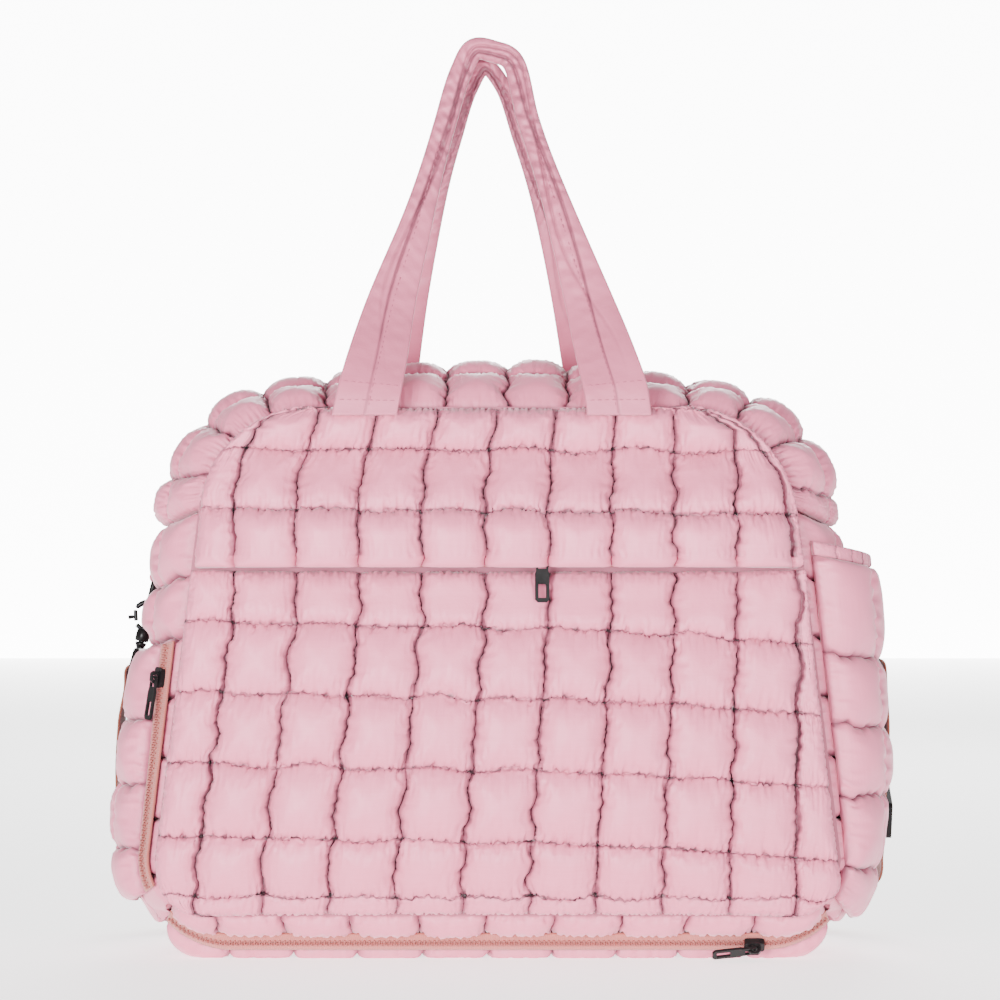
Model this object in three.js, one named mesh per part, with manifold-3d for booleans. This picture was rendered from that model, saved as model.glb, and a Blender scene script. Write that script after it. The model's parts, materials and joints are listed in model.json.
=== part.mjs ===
// A quilted diaper bag (weekender style): puffy nylon panels, a zipped top, a zipped front
// pocket under a flap, a zipped side pocket, an open side pocket, a zipped base compartment,
// two carry handles and a clip-on shoulder strap.
// Millimetres. +X is the bag's right as seen from the front, +Y points to its back, +Z is up.
// The origin is the centre of the flat base, on the surface that the bag stands on.
import Module from "manifold-3d";
import * as THREE from "three";
import { mergeVertices } from "three/addons/utils/BufferGeometryUtils.js";

const wasm = await Module();
wasm.setup();

// ---------------------------------------------------------------- driving dimensions
const HALF_DEPTH = 80; // from the middle of the bag to the seam of the front or back panel
const WALL = 8; // quilted wall: shell, wadding and lining
const GAP = 0.3; // clearance between pieces that touch

// Outline of the front and back panels, and of the band's middle, which bulges past them.
const PANEL = { halfBottom: 203, halfTop: 166, bottom: 29, top: 324, footRadius: 34, topRadius: 58, arch: 0 };
const MIDDLE = { halfBottom: 222, halfTop: 196, bottom: 0, top: 351, footRadius: 60, topRadius: 84, arch: 540 };

const LINING_THICK = 3;
const FLAP_BOTTOM = 231; // lower edge of the front flap
const FLAP_STAND = 19; // how far the flap's lower edge stands off, over the zip and its pull
const POCKET_TOP = 228; // upper edge of the front pocket panel
const POCKET_BULGE = 18;
const BACK_BULGE = 9;
const ZIP_WIDTH = 26; // both tapes of a closed zip
const ZIP_THICK = 1.4;

const WEB_WIDTH = 38; // shoulder strap
const WEB_THICK = 1.8;

// ---------------------------------------------------------------- colours and materials
const PINK = 0xdcb2bc;
const LINING = 0xc79aa6;
const SALMON = 0xdf9c88;
const WEBBING = 0xb5765c;
const BLACK = 0x1c1a1b;
const GREY = 0x55504f;

const group = new THREE.Group();

const paint = (color, roughness, metalness = 0) =>
  new THREE.MeshStandardMaterial({ color, roughness, metalness });

const quiltCloth = () => paint(PINK, 0.5);
const liningCloth = () => paint(LINING, 0.8);
const zipTape = () => paint(SALMON, 0.85);
const webbingCloth = () => paint(WEBBING, 0.9);
const blackMetal = () => paint(BLACK, 0.35, 0.9);

function add(name, geometry, material, parent = group) {
  const mesh = new THREE.Mesh(geometry, material);
  mesh.name = name;
  parent.add(mesh);
  return mesh;
}

// ---------------------------------------------------------------- joining solids
function toManifold(geometry) {
  const bare = geometry.clone();
  bare.deleteAttribute("normal");
  bare.deleteAttribute("uv");
  const merged = mergeVertices(bare, 1e-4);
  const vertProperties = new Float32Array(merged.attributes.position.array);
  const triVerts = new Uint32Array(merged.index.array);
  return new wasm.Manifold(new wasm.Mesh({ numProp: 3, vertProperties, triVerts }));
}

// Joins several closed geometries that overlap into one.
function join(...geometries) {
  const whole = geometries.map(toManifold).reduce((sum, next) => sum.add(next));
  const mesh = whole.getMesh();
  const geometry = new THREE.BufferGeometry();
  geometry.setAttribute("position", new THREE.BufferAttribute(new Float32Array(mesh.vertProperties), 3));
  geometry.setIndex(new THREE.BufferAttribute(new Uint32Array(mesh.triVerts), 1));
  geometry.computeVertexNormals();
  return geometry;
}

// ---------------------------------------------------------------- solids from grids and rings
const vec = (x, y, z) => new THREE.Vector3(x, y, z);

// Builds a closed solid from points and triangles, with its faces turned outwards.
function solid(points, faces) {
  let volume = 0;
  for (const [a, b, c] of faces) {
    volume += points[a].dot(points[b].clone().cross(points[c]));
  }
  const index = faces.flatMap(([a, b, c]) => (volume > 0 ? [a, b, c] : [a, c, b]));
  const geometry = new THREE.BufferGeometry();
  geometry.setAttribute("position", new THREE.Float32BufferAttribute(points.flatMap((p) => [p.x, p.y, p.z]), 3));
  geometry.setIndex(index);
  geometry.computeVertexNormals();
  return geometry;
}

// The same geometry with shared points merged and its faces turned outwards.
function outwards(geometry) {
  geometry.deleteAttribute("normal");
  geometry.deleteAttribute("uv");
  const merged = mergeVertices(geometry, 1e-4);
  const place = merged.attributes.position;
  const points = Array.from({ length: place.count }, (_, k) => new THREE.Vector3().fromBufferAttribute(place, k));
  const faces = [];
  for (let k = 0; k < merged.index.count; k += 3) {
    const face = [0, 1, 2].map((corner) => merged.index.getX(k + corner));
    if (new Set(face).size === 3) {
      faces.push(face);
    }
  }
  return solid(points, faces);
}

// A curved slab between two grids of points, outer(u, v) and inner(u, v), u and v from 0 to 1.
function slab(outer, inner, columns, rows) {
  const points = [];
  const faces = [];
  for (const side of [outer, inner]) {
    for (let j = 0; j <= rows; j += 1) {
      for (let i = 0; i <= columns; i += 1) {
        points.push(side(i / columns, j / rows));
      }
    }
  }
  const layer = (columns + 1) * (rows + 1);
  const at = (i, j, side) => side * layer + j * (columns + 1) + i;
  const quad = (a, b, c, d) => faces.push([a, b, c], [a, c, d]);
  for (let j = 0; j < rows; j += 1) {
    for (let i = 0; i < columns; i += 1) {
      quad(at(i, j, 0), at(i + 1, j, 0), at(i + 1, j + 1, 0), at(i, j + 1, 0));
      quad(at(i, j, 1), at(i, j + 1, 1), at(i + 1, j + 1, 1), at(i + 1, j, 1));
    }
  }
  for (let i = 0; i < columns; i += 1) {
    quad(at(i, 0, 0), at(i, 0, 1), at(i + 1, 0, 1), at(i + 1, 0, 0));
    quad(at(i, rows, 0), at(i + 1, rows, 0), at(i + 1, rows, 1), at(i, rows, 1));
  }
  for (let j = 0; j < rows; j += 1) {
    quad(at(0, j, 0), at(0, j + 1, 0), at(0, j + 1, 1), at(0, j, 1));
    quad(at(columns, j, 0), at(columns, j, 1), at(columns, j + 1, 1), at(columns, j + 1, 0));
  }
  return solid(points, faces);
}

// A solid that joins rings of points. An open run gets flat ends, a closed one joins up.
function ringLoft(rings, closed = false) {
  const count = rings[0].length;
  const points = rings.flat();
  const faces = [];
  const spans = closed ? rings.length : rings.length - 1;
  for (let k = 0; k < spans; k += 1) {
    const here = k * count;
    const next = ((k + 1) % rings.length) * count;
    for (let i = 0; i < count; i += 1) {
      const j = (i + 1) % count;
      faces.push([here + i, here + j, next + j], [here + i, next + j, next + i]);
    }
  }
  if (!closed) {
    [0, rings.length - 1].forEach((ring, end) => {
      const centre = rings[ring].reduce((sum, p) => sum.add(p), vec(0, 0, 0)).divideScalar(count);
      const hub = points.push(centre) - 1;
      for (let i = 0; i < count; i += 1) {
        const a = ring * count + i;
        const b = ring * count + ((i + 1) % count);
        faces.push(end === 0 ? [hub, b, a] : [hub, a, b]);
      }
    });
  }
  return solid(points, faces);
}

// Rings for a strip of cloth or a wire that follows a path. facing(t) is the way the strip's
// face points, size(t) gives [width, thickness], and section is the corner list of its section.
const STRIP_SECTION = [
  [0.5, 0.2], [0.42, 0.5], [-0.42, 0.5], [-0.5, 0.2], [-0.5, -0.2], [-0.42, -0.5], [0.42, -0.5], [0.5, -0.2],
];
const FLAT_SECTION = [[0.5, 0.5], [-0.5, 0.5], [-0.5, -0.5], [0.5, -0.5]];
const WIRE_SECTION = Array.from({ length: 6 }, (_, k) => {
  const angle = ((k + 0.5) * Math.PI) / 3;
  return [0.5 * Math.cos(angle), 0.5 * Math.sin(angle)];
});

function stripRings(path, steps, facing, size, section, closed = false) {
  const rings = [];
  const last = closed ? steps - 1 : steps;
  for (let k = 0; k <= last; k += 1) {
    const t = k / steps;
    const centre = path.getPointAt(t);
    const along = path.getTangentAt(t);
    const face = facing(t).clone();
    face.addScaledVector(along, -face.dot(along)).normalize();
    const across = along.clone().cross(face);
    const [width, thick] = size(t);
    rings.push(section.map(([a, b]) =>
      centre.clone().addScaledVector(across, a * width).addScaledVector(face, b * thick)));
  }
  return rings;
}

const curve = (points, closed = false) => new THREE.CatmullRomCurve3(points, closed, "centripetal");
const lerp = (a, b, t) => a + (b - a) * t;
const clamp = (t) => Math.min(1, Math.max(0, t));
const smooth = (t) => clamp(t) ** 2 * (3 - 2 * clamp(t));

// ---------------------------------------------------------------- outlines of the bag
// Half width of an outline's straight slanted side at height z.
const slant = (shape, z) =>
  lerp(shape.halfBottom, shape.halfTop, (z - shape.bottom) / (shape.top - shape.bottom));

// Height of an outline's top edge at x.
const topEdge = (shape, x) => shape.top - (shape.arch ? (x * x) / (2 * shape.arch) : 0);

// Half width of a panel at height z, with its rounded corners.
function halfWidth(shape, z) {
  const high = z - (shape.top - shape.topRadius);
  const low = shape.bottom + shape.footRadius - z;
  if (high > 0) {
    return slant(shape, z) - shape.topRadius + Math.sqrt(Math.max(0, shape.topRadius ** 2 - high ** 2));
  }
  if (low > 0) {
    return slant(shape, z) - shape.footRadius + Math.sqrt(Math.max(0, shape.footRadius ** 2 - low ** 2));
  }
  return slant(shape, z);
}

// A point on the right half of an outline, in [x, z]. stretch names the part, t runs along it.
function outlinePoint(shape, stretch, t) {
  const footX = slant(shape, shape.bottom + shape.footRadius) - shape.footRadius;
  const topX = slant(shape, shape.top - shape.topRadius) - shape.topRadius;
  const topZ = topEdge(shape, topX) - shape.topRadius;
  const footZ = shape.bottom + shape.footRadius;
  if (stretch === "base") {
    return [lerp(-footX, footX, t), shape.bottom];
  }
  if (stretch === "foot") {
    const angle = -Math.PI / 2 + (t * Math.PI) / 2;
    return [footX + shape.footRadius * Math.cos(angle), footZ + shape.footRadius * Math.sin(angle)];
  }
  if (stretch === "side") {
    return [lerp(footX + shape.footRadius, topX + shape.topRadius, t), lerp(footZ, topZ, t)];
  }
  if (stretch === "shoulder") {
    const angle = (t * Math.PI) / 2;
    return [topX + shape.topRadius * Math.cos(angle), topZ + shape.topRadius * Math.sin(angle)];
  }
  const x = lerp(topX, -topX, t);
  return [x, topEdge(shape, x)];
}

const inset = (shape, by) => ({
  ...shape,
  halfBottom: shape.halfBottom - by,
  halfTop: shape.halfTop - by,
  bottom: shape.bottom + by,
  top: shape.top - by,
  footRadius: shape.footRadius - by,
  topRadius: shape.topRadius - by,
});

// How far the band has bulged from the panel outline (0) to the middle outline (1) at depth y.
const sideBulge = (y) => 1 - Math.abs(y / HALF_DEPTH) ** 2.5;
const baseBulge = (y) => Math.min(1, 1.5 * (1 - (y / HALF_DEPTH) ** 2));

// A point on the band at depth y, depth below its outer surface, mirrored to the left if asked.
function bandPoint(stretch, t, y, below, left = false) {
  const edge = outlinePoint(inset(PANEL, below), stretch, t);
  const middle = outlinePoint(inset(MIDDLE, below), stretch, t);
  let bulge = sideBulge(y);
  if (stretch === "base") {
    bulge = baseBulge(y);
  } else if (stretch === "foot") {
    bulge = lerp(baseBulge(y), sideBulge(y), t);
  }
  const x = lerp(edge[0], middle[0], bulge);
  return vec(left ? -x : x, y, lerp(edge[1], middle[1], bulge));
}

// Depth stations of the band from front to back, closer together near the seams.
const depthAt = (v, from, to) => lerp(from, to, 0.5 - 0.5 * Math.cos(Math.PI * v));

// A stretch of the band as one slab. pieces is a list of [stretch, from, to], joined end to end.
function bandSlab(pieces, columns, front, back, rows, left = false, thick = WALL) {
  const place = (u, y, below) => {
    const spot = Math.min(u * pieces.length, pieces.length - 1e-6);
    const [stretch, from, to] = pieces[Math.floor(spot)];
    return bandPoint(stretch, lerp(from, to, spot - Math.floor(spot)), y, below, left);
  };
  return slab(
    (u, v) => place(u, depthAt(v, front, back), 0),
    (u, v) => place(u, depthAt(v, front, back), thick),
    columns, rows);
}

// ---------------------------------------------------------------- front and back panels
// A panel's height stations crowd towards the rounded corners.
const heightAt = (v, from, to) => lerp(from, to, 0.5 - 0.5 * Math.cos(Math.PI * v));

// Bulge of a filled panel: 0 at its edges, 1 in the middle.
const crown = (u, v) => (1 - Math.abs(2 * u - 1) ** 3) * (1 - Math.abs(2 * v - 1) ** 3);

// A panel from low to high whose faces stand at front(u, v) and back(u, v) along Y.
function panelSlab(low, high, front, back, columns, rows, gap = 0) {
  const place = (u, v, y) => {
    const z = heightAt(v, low, high);
    return vec((2 * u - 1) * (halfWidth(PANEL, z) - gap), y(u, v), z);
  };
  return slab((u, v) => place(u, v, front), (u, v) => place(u, v, back), columns, rows);
}

// The front pocket sags: its bulge rises from the base seam and fades towards the zip.
const pocketBulge = (u, rise) =>
  (1 - Math.abs(2 * u - 1) ** 3)
  * (1 - Math.max(0, 1 - rise / 0.35) ** 2)
  * (1 - (Math.max(0, rise - 0.45) / 0.55) ** 2);

function makePanels() {
  const seat = -HALF_DEPTH - GAP; // front face of the band
  const wallFront = seat - LINING_THICK;
  add("front_panel", panelSlab(PANEL.bottom, PANEL.top, () => wallFront, () => seat, 12, 14), liningCloth());

  const pocketBack = wallFront - GAP;
  const rise = (v) => 0.5 - 0.5 * Math.cos(Math.PI * v);
  add("front_pocket_panel", panelSlab(PANEL.bottom, POCKET_TOP,
    (u, v) => pocketBack - WALL - POCKET_BULGE * pocketBulge(u, rise(v)),
    (u, v) => pocketBack - 0.5 * POCKET_BULGE * pocketBulge(u, rise(v)), 16, 12), quiltCloth());

  // The flap is sewn along the top seam and down both sides, and stands over the pocket's zip.
  const lip = (u, v) => (1 - Math.abs(2 * u - 1) ** 6) * (1 - smooth((rise(v) - 0.2) / 0.5));
  add("front_flap", panelSlab(FLAP_BOTTOM, PANEL.top,
    (u, v) => pocketBack - WALL - FLAP_STAND * lip(u, v) - 2 * crown(u, v),
    (u, v) => pocketBack - FLAP_STAND * lip(u, v), 20, 10), quiltCloth());

  add("back_panel", panelSlab(PANEL.bottom, PANEL.top,
    (u, v) => HALF_DEPTH + GAP + WALL + BACK_BULGE * crown(u, v),
    () => HALF_DEPTH + GAP, 16, 14), quiltCloth());
}

// ---------------------------------------------------------------- the band between the panels
const ZIP_HALF = ZIP_WIDTH / 2;

// The base zip lies between the quilted front edge of the base and its flat floor.
const BASE_ZIP = { front: -66, back: -52, sunk: 2, slider: 150, droop: 0.13 };

function makeBand() {
  const front = -HALF_DEPTH;
  const back = HALF_DEPTH;
  const sideGap = 0.004; // of a side's height, between a side panel and its neighbours
  for (const left of [false, true]) {
    const name = left ? "left_gusset" : "right_gusset";
    add(name, bandSlab([["foot", 0.5, 1], ["side", 0, 1 - sideGap]], 14, front, back, 10, left), quiltCloth());
  }
  // The top halves run over both shoulders and the arch, one on each side of the zip.
  const halves = [["top_gusset_front", front, -ZIP_HALF - GAP], ["top_gusset_back", ZIP_HALF + GAP, back]];
  for (const [name, from, to] of halves) {
    add(name, topSlab(from, to, 6, WALL, 0), quiltCloth());
  }
  add("base_front_strip", baseSlab(front, BASE_ZIP.front, 4, 0, WALL), quiltCloth());
  add("base_panel", baseSlab(BASE_ZIP.back, back, 8, 0, WALL), quiltCloth());
}

// A slab over both shoulders and the arch, between two depths.
function topSlab(from, to, rows, thick, sunk) {
  const columns = 34;
  const place = (u, v, below) => {
    const y = depthAt(v, from, to);
    if (u < 0.25) {
      return bandPoint("shoulder", u * 4, y, below);
    }
    if (u > 0.75) {
      return bandPoint("shoulder", (1 - u) * 4, y, below, true);
    }
    return bandPoint("arch", (u - 0.25) * 2, y, below);
  };
  return slab((u, v) => place(u, v, sunk), (u, v) => place(u, v, sunk + thick), columns, rows);
}

// A slab along the base and half way up both feet, between two depths.
function baseSlab(from, to, rows, sunk, thick) {
  const footEnd = 0.48;
  const place = (u, v, below) => {
    const y = depthAt(v, from, to);
    if (u < 0.2) {
      return bandPoint("foot", lerp(footEnd, 0, u * 5), y, below, true);
    }
    if (u > 0.8) {
      return bandPoint("foot", lerp(0, footEnd, (u - 0.8) * 5), y, below);
    }
    return bandPoint("base", (u - 0.2) / 0.6, y, below);
  };
  return slab((u, v) => place(u, v, sunk), (u, v) => place(u, v, sunk + thick), 20, rows);
}

// ---------------------------------------------------------------- inside the bag
function makeInside() {
  const insideDepth = 2 * (HALF_DEPTH - 6);
  const board = new THREE.BoxGeometry(300, 80, 2.5);
  board.translate(0, 0, WALL + 2.2);
  add("base_board", board, paint(GREY, 0.8));

  // A cloth floor parts the main compartment from the zipped base compartment.
  const floor = new THREE.BoxGeometry(2 * (slant(PANEL, 72) - WALL - 4), insideDepth, 3);
  floor.translate(0, 0, 72);
  add("compartment_floor", floor, liningCloth());
}

// ---------------------------------------------------------------- zips
// A slider is a body that straddles the coil and a bridge on it that the pull hangs in.
const SLIDER = { length: 12, width: 9, height: 3.6, bridge: 4.4, bridgeWide: 2.4 };
const PULL = { length: 25, width: 8.3, thick: 1.5, pin: 0.65, eye: 1.6 };
const PIN_HEIGHT = SLIDER.height + 1.9;

function roundedBox(length, width, height, corner, holes = []) {
  const outline = new THREE.Shape();
  const x = length / 2;
  const y = width / 2;
  outline.moveTo(-x + corner, -y);
  outline.lineTo(x - corner, -y);
  outline.quadraticCurveTo(x, -y, x, -y + corner);
  outline.lineTo(x, y - corner);
  outline.quadraticCurveTo(x, y, x - corner, y);
  outline.lineTo(-x + corner, y);
  outline.quadraticCurveTo(-x, y, -x, y - corner);
  outline.lineTo(-x, -y + corner);
  outline.quadraticCurveTo(-x, -y, -x + corner, -y);
  outline.holes.push(...holes);
  return new THREE.ExtrudeGeometry(outline, { depth: height, bevelEnabled: false, curveSegments: 3 });
}

// The slider's frame: x along the zip, y across it, z away from the cloth. Its bridge stands
// along the zip, or across it where the pull hangs across the zip.
function sliderGeometry(turned) {
  const body = roundedBox(SLIDER.length, SLIDER.width, SLIDER.height, 2.5);
  const outline = new THREE.Shape();
  const foot = SLIDER.height - 0.5;
  const roof = SLIDER.height + SLIDER.bridge;
  outline.moveTo(-3.6, foot);
  outline.lineTo(3.6, foot);
  outline.lineTo(3.6, roof - 1.6);
  outline.lineTo(2.2, roof);
  outline.lineTo(-2.2, roof);
  outline.lineTo(-3.6, roof - 1.6);
  outline.closePath();
  const eye = new THREE.Path();
  eye.absarc(0, PIN_HEIGHT, PULL.eye, 0, 2 * Math.PI, true);
  outline.holes.push(eye);
  const bridge = new THREE.ExtrudeGeometry(outline,
    { depth: SLIDER.bridgeWide, bevelEnabled: false, curveSegments: 10 });
  bridge.translate(0, 0, -SLIDER.bridgeWide / 2);
  bridge.rotateX(Math.PI / 2);
  if (turned) {
    bridge.rotateZ(Math.PI / 2);
  }
  return join(body, bridge);
}

const slot = (low, high, half) => {
  const hole = new THREE.Path();
  hole.moveTo(-half, low);
  hole.lineTo(-half, high);
  hole.lineTo(half, high);
  hole.lineTo(half, low);
  hole.closePath();
  return hole;
};

// The pull hangs along -y of its own frame from a pin on x, and its tab has a window near its end.
function pullGeometry() {
  const half = PULL.width / 2;
  const tip = -PULL.length;
  const neck = half - 0.6;
  const corner = 1.6;
  const tab = new THREE.Shape();
  tab.moveTo(-neck, PULL.pin);
  tab.lineTo(-neck, -7);
  tab.lineTo(-half, -8.5);
  tab.lineTo(-half, tip + corner);
  tab.lineTo(-half + corner, tip);
  tab.lineTo(half - corner, tip);
  tab.lineTo(half, tip + corner);
  tab.lineTo(half, -8.5);
  tab.lineTo(neck, -7);
  tab.lineTo(neck, PULL.pin);
  tab.closePath();
  tab.holes.push(slot(-5.6, -PULL.pin, neck - 1.2));
  tab.holes.push(slot(tip + 2.6, tip + 10.5, half - 2));
  const geometry = new THREE.ExtrudeGeometry(tab, { depth: PULL.thick, bevelEnabled: false });
  geometry.translate(0, 0, -PULL.thick / 2);
  return geometry;
}

// Places a slider and its pull: origin on the cloth, along the zip, out of the cloth, and hang,
// the way that the pull lies from its pin.
function placeSlider(prefix, origin, along, out, hang) {
  const across = out.clone().cross(along);
  const turned = Math.abs(hang.dot(across)) > Math.abs(hang.dot(along));
  const slider = sliderGeometry(turned);
  slider.applyMatrix4(new THREE.Matrix4().makeBasis(along, across, out).setPosition(origin));
  add(`${prefix}_slider`, slider, blackMetal());

  const pin = turned ? along : across;
  const place = origin.clone().addScaledVector(out, PIN_HEIGHT);
  const back = hang.clone().addScaledVector(pin, -hang.dot(pin)).normalize().negate();
  const pull = pullGeometry();
  pull.applyMatrix4(new THREE.Matrix4().makeBasis(pin, back, pin.clone().cross(back)).setPosition(place));
  add(`${prefix}_pull`, pull, blackMetal());
}

const MAIN_ZIP = { sunk: 6, slider: 96 }; // depth below the quilt, and the closed slider's x
const FRONT_ZIP = { half: 150, z: 239, y: -92.3, slider: 25.5 };

function makeZips() {
  // Main zip: over both shoulders and the arch.
  const seam = ZIP_WIDTH / 2;
  add("main_zip_front_tape", topSlab(-seam, -GAP / 2, 1, ZIP_THICK, MAIN_ZIP.sunk), zipTape());
  add("main_zip_back_tape", topSlab(GAP / 2, seam, 1, ZIP_THICK, MAIN_ZIP.sunk), zipTape());
  const angle = Math.asin(MAIN_ZIP.slider / MIDDLE.arch);
  const radius = MIDDLE.arch + 2 * GAP;
  const centre = MIDDLE.top - MAIN_ZIP.sunk - MIDDLE.arch;
  const seat = vec(radius * Math.sin(angle), 0, centre + radius * Math.cos(angle));
  const along = vec(Math.cos(angle), 0, -Math.sin(angle));
  const up = vec(Math.sin(angle), 0, Math.cos(angle));
  placeSlider("main_zip", seat, along, up, along.clone().negate().addScaledVector(up, 0.05));

  // Front pocket zip: a flat tape behind the flap.
  const tape = new THREE.BoxGeometry(2 * FRONT_ZIP.half, ZIP_THICK, 15);
  tape.translate(0, FRONT_ZIP.y + ZIP_THICK / 2, FRONT_ZIP.z);
  add("front_zip_tape", tape, zipTape());
  placeSlider("front_zip", vec(FRONT_ZIP.slider, FRONT_ZIP.y - GAP, FRONT_ZIP.z - 3), vec(1, 0, 0),
    vec(0, -1, 0), vec(0, -0.06, -1));

  // Base zip: a strip along the front edge of the base. Its pull almost touches the ground.
  add("base_zip_tape", baseSlab(BASE_ZIP.front + GAP, BASE_ZIP.back - GAP, 1, BASE_ZIP.sunk, ZIP_THICK), zipTape());
  const edge = (y) => bandPoint("base", 0.5, y, BASE_ZIP.sunk);
  const slope = edge(BASE_ZIP.back - GAP).sub(edge(BASE_ZIP.front + GAP)).normalize();
  const down = slope.clone().cross(vec(1, 0, 0)).normalize();
  down.multiplyScalar(-Math.sign(down.z));
  const lowest = edge(BASE_ZIP.front + GAP).lerp(edge(BASE_ZIP.back - GAP), 0.5).setX(BASE_ZIP.slider);
  placeSlider("base_zip", lowest.addScaledVector(down, 2 * GAP), vec(1, 0, 0), down,
    vec(-Math.cos(BASE_ZIP.droop), 0, 0).addScaledVector(down, Math.sin(BASE_ZIP.droop)));
}

// ---------------------------------------------------------------- side pockets
// A slab that follows the band's side, lifted off it by outer(u, v) and inner(u, v): u runs up
// the stretches in pieces, and v from front to back.
function sideSlab(pieces, front, back, outer, inner, columns, rows, left) {
  const place = (u, v, lift) => {
    const spot = Math.min(u * pieces.length, pieces.length - 1e-6);
    const [stretch, from, to] = pieces[Math.floor(spot)];
    return bandPoint(stretch, lerp(from, to, spot - Math.floor(spot)), lerp(front, back, v), -lift, left);
  };
  return slab((u, v) => place(u, v, outer(u, v)), (u, v) => place(u, v, inner(u, v)), columns, rows);
}

const POCKET_WALL = 5;
const LEFT_POCKET = { foot: 0.72, high: 0.62, front: -62, back: 31, bulge: 9 };
const RIGHT_POCKET = { foot: 0.6, high: 0.865, front: -76, back: 31, bulge: 13, hem: 0.04 };
const LEFT_ZIP = { front: -76, back: -64, slider: 0.52 };

function makeSidePockets() {
  // Left: a zipped pocket. Its zip runs up the front edge, next to the front panel.
  const leftBulge = (u, v) => GAP + LEFT_POCKET.bulge * crown(u, v);
  const leftRun = [["foot", LEFT_POCKET.foot, 1], ["side", 0, LEFT_POCKET.high]];
  add("left_pocket", sideSlab(leftRun, LEFT_POCKET.front,
    LEFT_POCKET.back, (u, v) => POCKET_WALL + leftBulge(u, v), leftBulge, 12, 10, true), quiltCloth());
  add("left_zip_tape", sideSlab(leftRun, LEFT_ZIP.front,
    LEFT_ZIP.back, () => GAP + ZIP_THICK, () => GAP, 8, 2, true), zipTape());
  const middle = (LEFT_ZIP.front + LEFT_ZIP.back) / 2;
  const lift = -(2 * GAP + ZIP_THICK + 0.9);
  const at = bandPoint("side", LEFT_ZIP.slider, middle, lift, true);
  const along = bandPoint("side", LEFT_ZIP.slider + 0.1, middle, lift, true).sub(at).normalize();
  const across = bandPoint("side", LEFT_ZIP.slider, LEFT_ZIP.back, lift, true)
    .sub(bandPoint("side", LEFT_ZIP.slider, LEFT_ZIP.front, lift, true));
  const out = along.clone().cross(across).normalize();
  placeSlider("left_zip", at, along, out, along.clone().negate().addScaledVector(out, 0.05));

  // Right: an open pocket with an elastic hem, which stands off the bag's side.
  const rightBulge = (u, v) =>
    2 * GAP + RIGHT_POCKET.bulge * (1 - Math.abs(2 * v - 1) ** 3) * smooth(u * 2.2);
  add("right_pocket", sideSlab([["foot", RIGHT_POCKET.foot, 1], ["side", 0, RIGHT_POCKET.high]], RIGHT_POCKET.front,
    RIGHT_POCKET.back, (u, v) => POCKET_WALL + rightBulge(u, v), rightBulge, 14, 10, false), quiltCloth());
  const hemLow = RIGHT_POCKET.high + 0.002;
  add("right_pocket_hem", sideSlab([["side", hemLow, hemLow + RIGHT_POCKET.hem]], RIGHT_POCKET.front,
    RIGHT_POCKET.back, (u, v) => POCKET_WALL - 1 + rightBulge(1, v), (u, v) => 1 + rightBulge(1, v),
    1, 12, false), quiltCloth());
}

// ---------------------------------------------------------------- carry handles
// Each handle is one strap, sewn to its panel's top seam at both ends. It narrows and folds
// towards the top, where both handles meet over the zip.
const HANDLE = { width: 37, foldedWidth: 15, thick: 3.6, foldedThick: 9 };
const FRONT_HANDLE = [
  [-77, -97, 319], [-74, -94.5, 334], [-70, -85, 352], [-62, -62, 387], [-47, -42, 437],
  [-32, -22, 492], [-23, -11, 525], [-9, -7.5, 538], [6, -11, 529], [18, -22, 496],
  [35, -42, 444], [53, -62, 387], [63, -85, 352], [68, -94.5, 334], [70, -97, 319],
];
const BACK_HANDLE = [
  [-72, 95.5, 319], [-69, 92.5, 334], [-66, 83, 352], [-57, 62, 387], [-42, 42, 437],
  [-27, 22, 488], [-18, 11, 516], [-8, 7.5, 528], [3, 11, 518], [14, 22, 488],
  [30, 42, 440], [47, 62, 387], [57, 83, 352], [61, 92.5, 334], [63, 95.5, 319],
];

function handleGeometry(route, outwards) {
  const path = curve(route.map((p) => vec(...p)));
  const fold = (t) => smooth(1.35 * (1 - Math.abs(2 * t - 1)));
  const size = (t) => [
    lerp(HANDLE.width, HANDLE.foldedWidth, fold(t)),
    lerp(HANDLE.thick, HANDLE.foldedThick, fold(t)),
  ];
  return ringLoft(stripRings(path, 40, () => vec(0, outwards, 0), size, STRIP_SECTION));
}

function makeHandles() {
  add("front_handle", handleGeometry(FRONT_HANDLE, -1), quiltCloth());
  add("back_handle", handleGeometry(BACK_HANDLE, 1), quiltCloth());
}

// ---------------------------------------------------------------- strap hardware
// Each side has a sewn tab, a D-ring, a swivel hook with a sprung gate, and the hook's eye.
// Their frame: origin at the D-ring's bar, x outwards, z up, and the chain hangs down -z.
const RING = { wire: 3.6, half: 15, drop: 6 };
const TAB = { width: 18, eye: 2.6, thick: 1.8, height: 27 };
const HOOK = { wire: 4, radius: 8.5, centre: -24.9, barrel: -32.7 };
const EYE = { wire: 4, half: 21.75, top: -46, bottom: -59 };
const RIGHT_BAR = vec(207.5, 50, 223);
const LEFT_BAR = vec(-208.5, 50, 223);
const CHAIN_TILT = { right: 24, left: 14 }; // degrees that each chain hangs away from the bag
const TAB_TILT = 10;

function chainMatrix(bar, tilt) {
  const turn = new THREE.Matrix4().makeRotationY(THREE.MathUtils.degToRad(-tilt));
  const face = new THREE.Matrix4().makeRotationZ(bar.x > 0 ? 0 : Math.PI);
  return new THREE.Matrix4().makeTranslation(bar.x, bar.y, bar.z).multiply(face).multiply(turn);
}

const wireLoop = (points, steps, wire, normal) =>
  ringLoft(stripRings(curve(points, true), steps, () => normal, () => [wire, wire], WIRE_SECTION, true), true);

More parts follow.
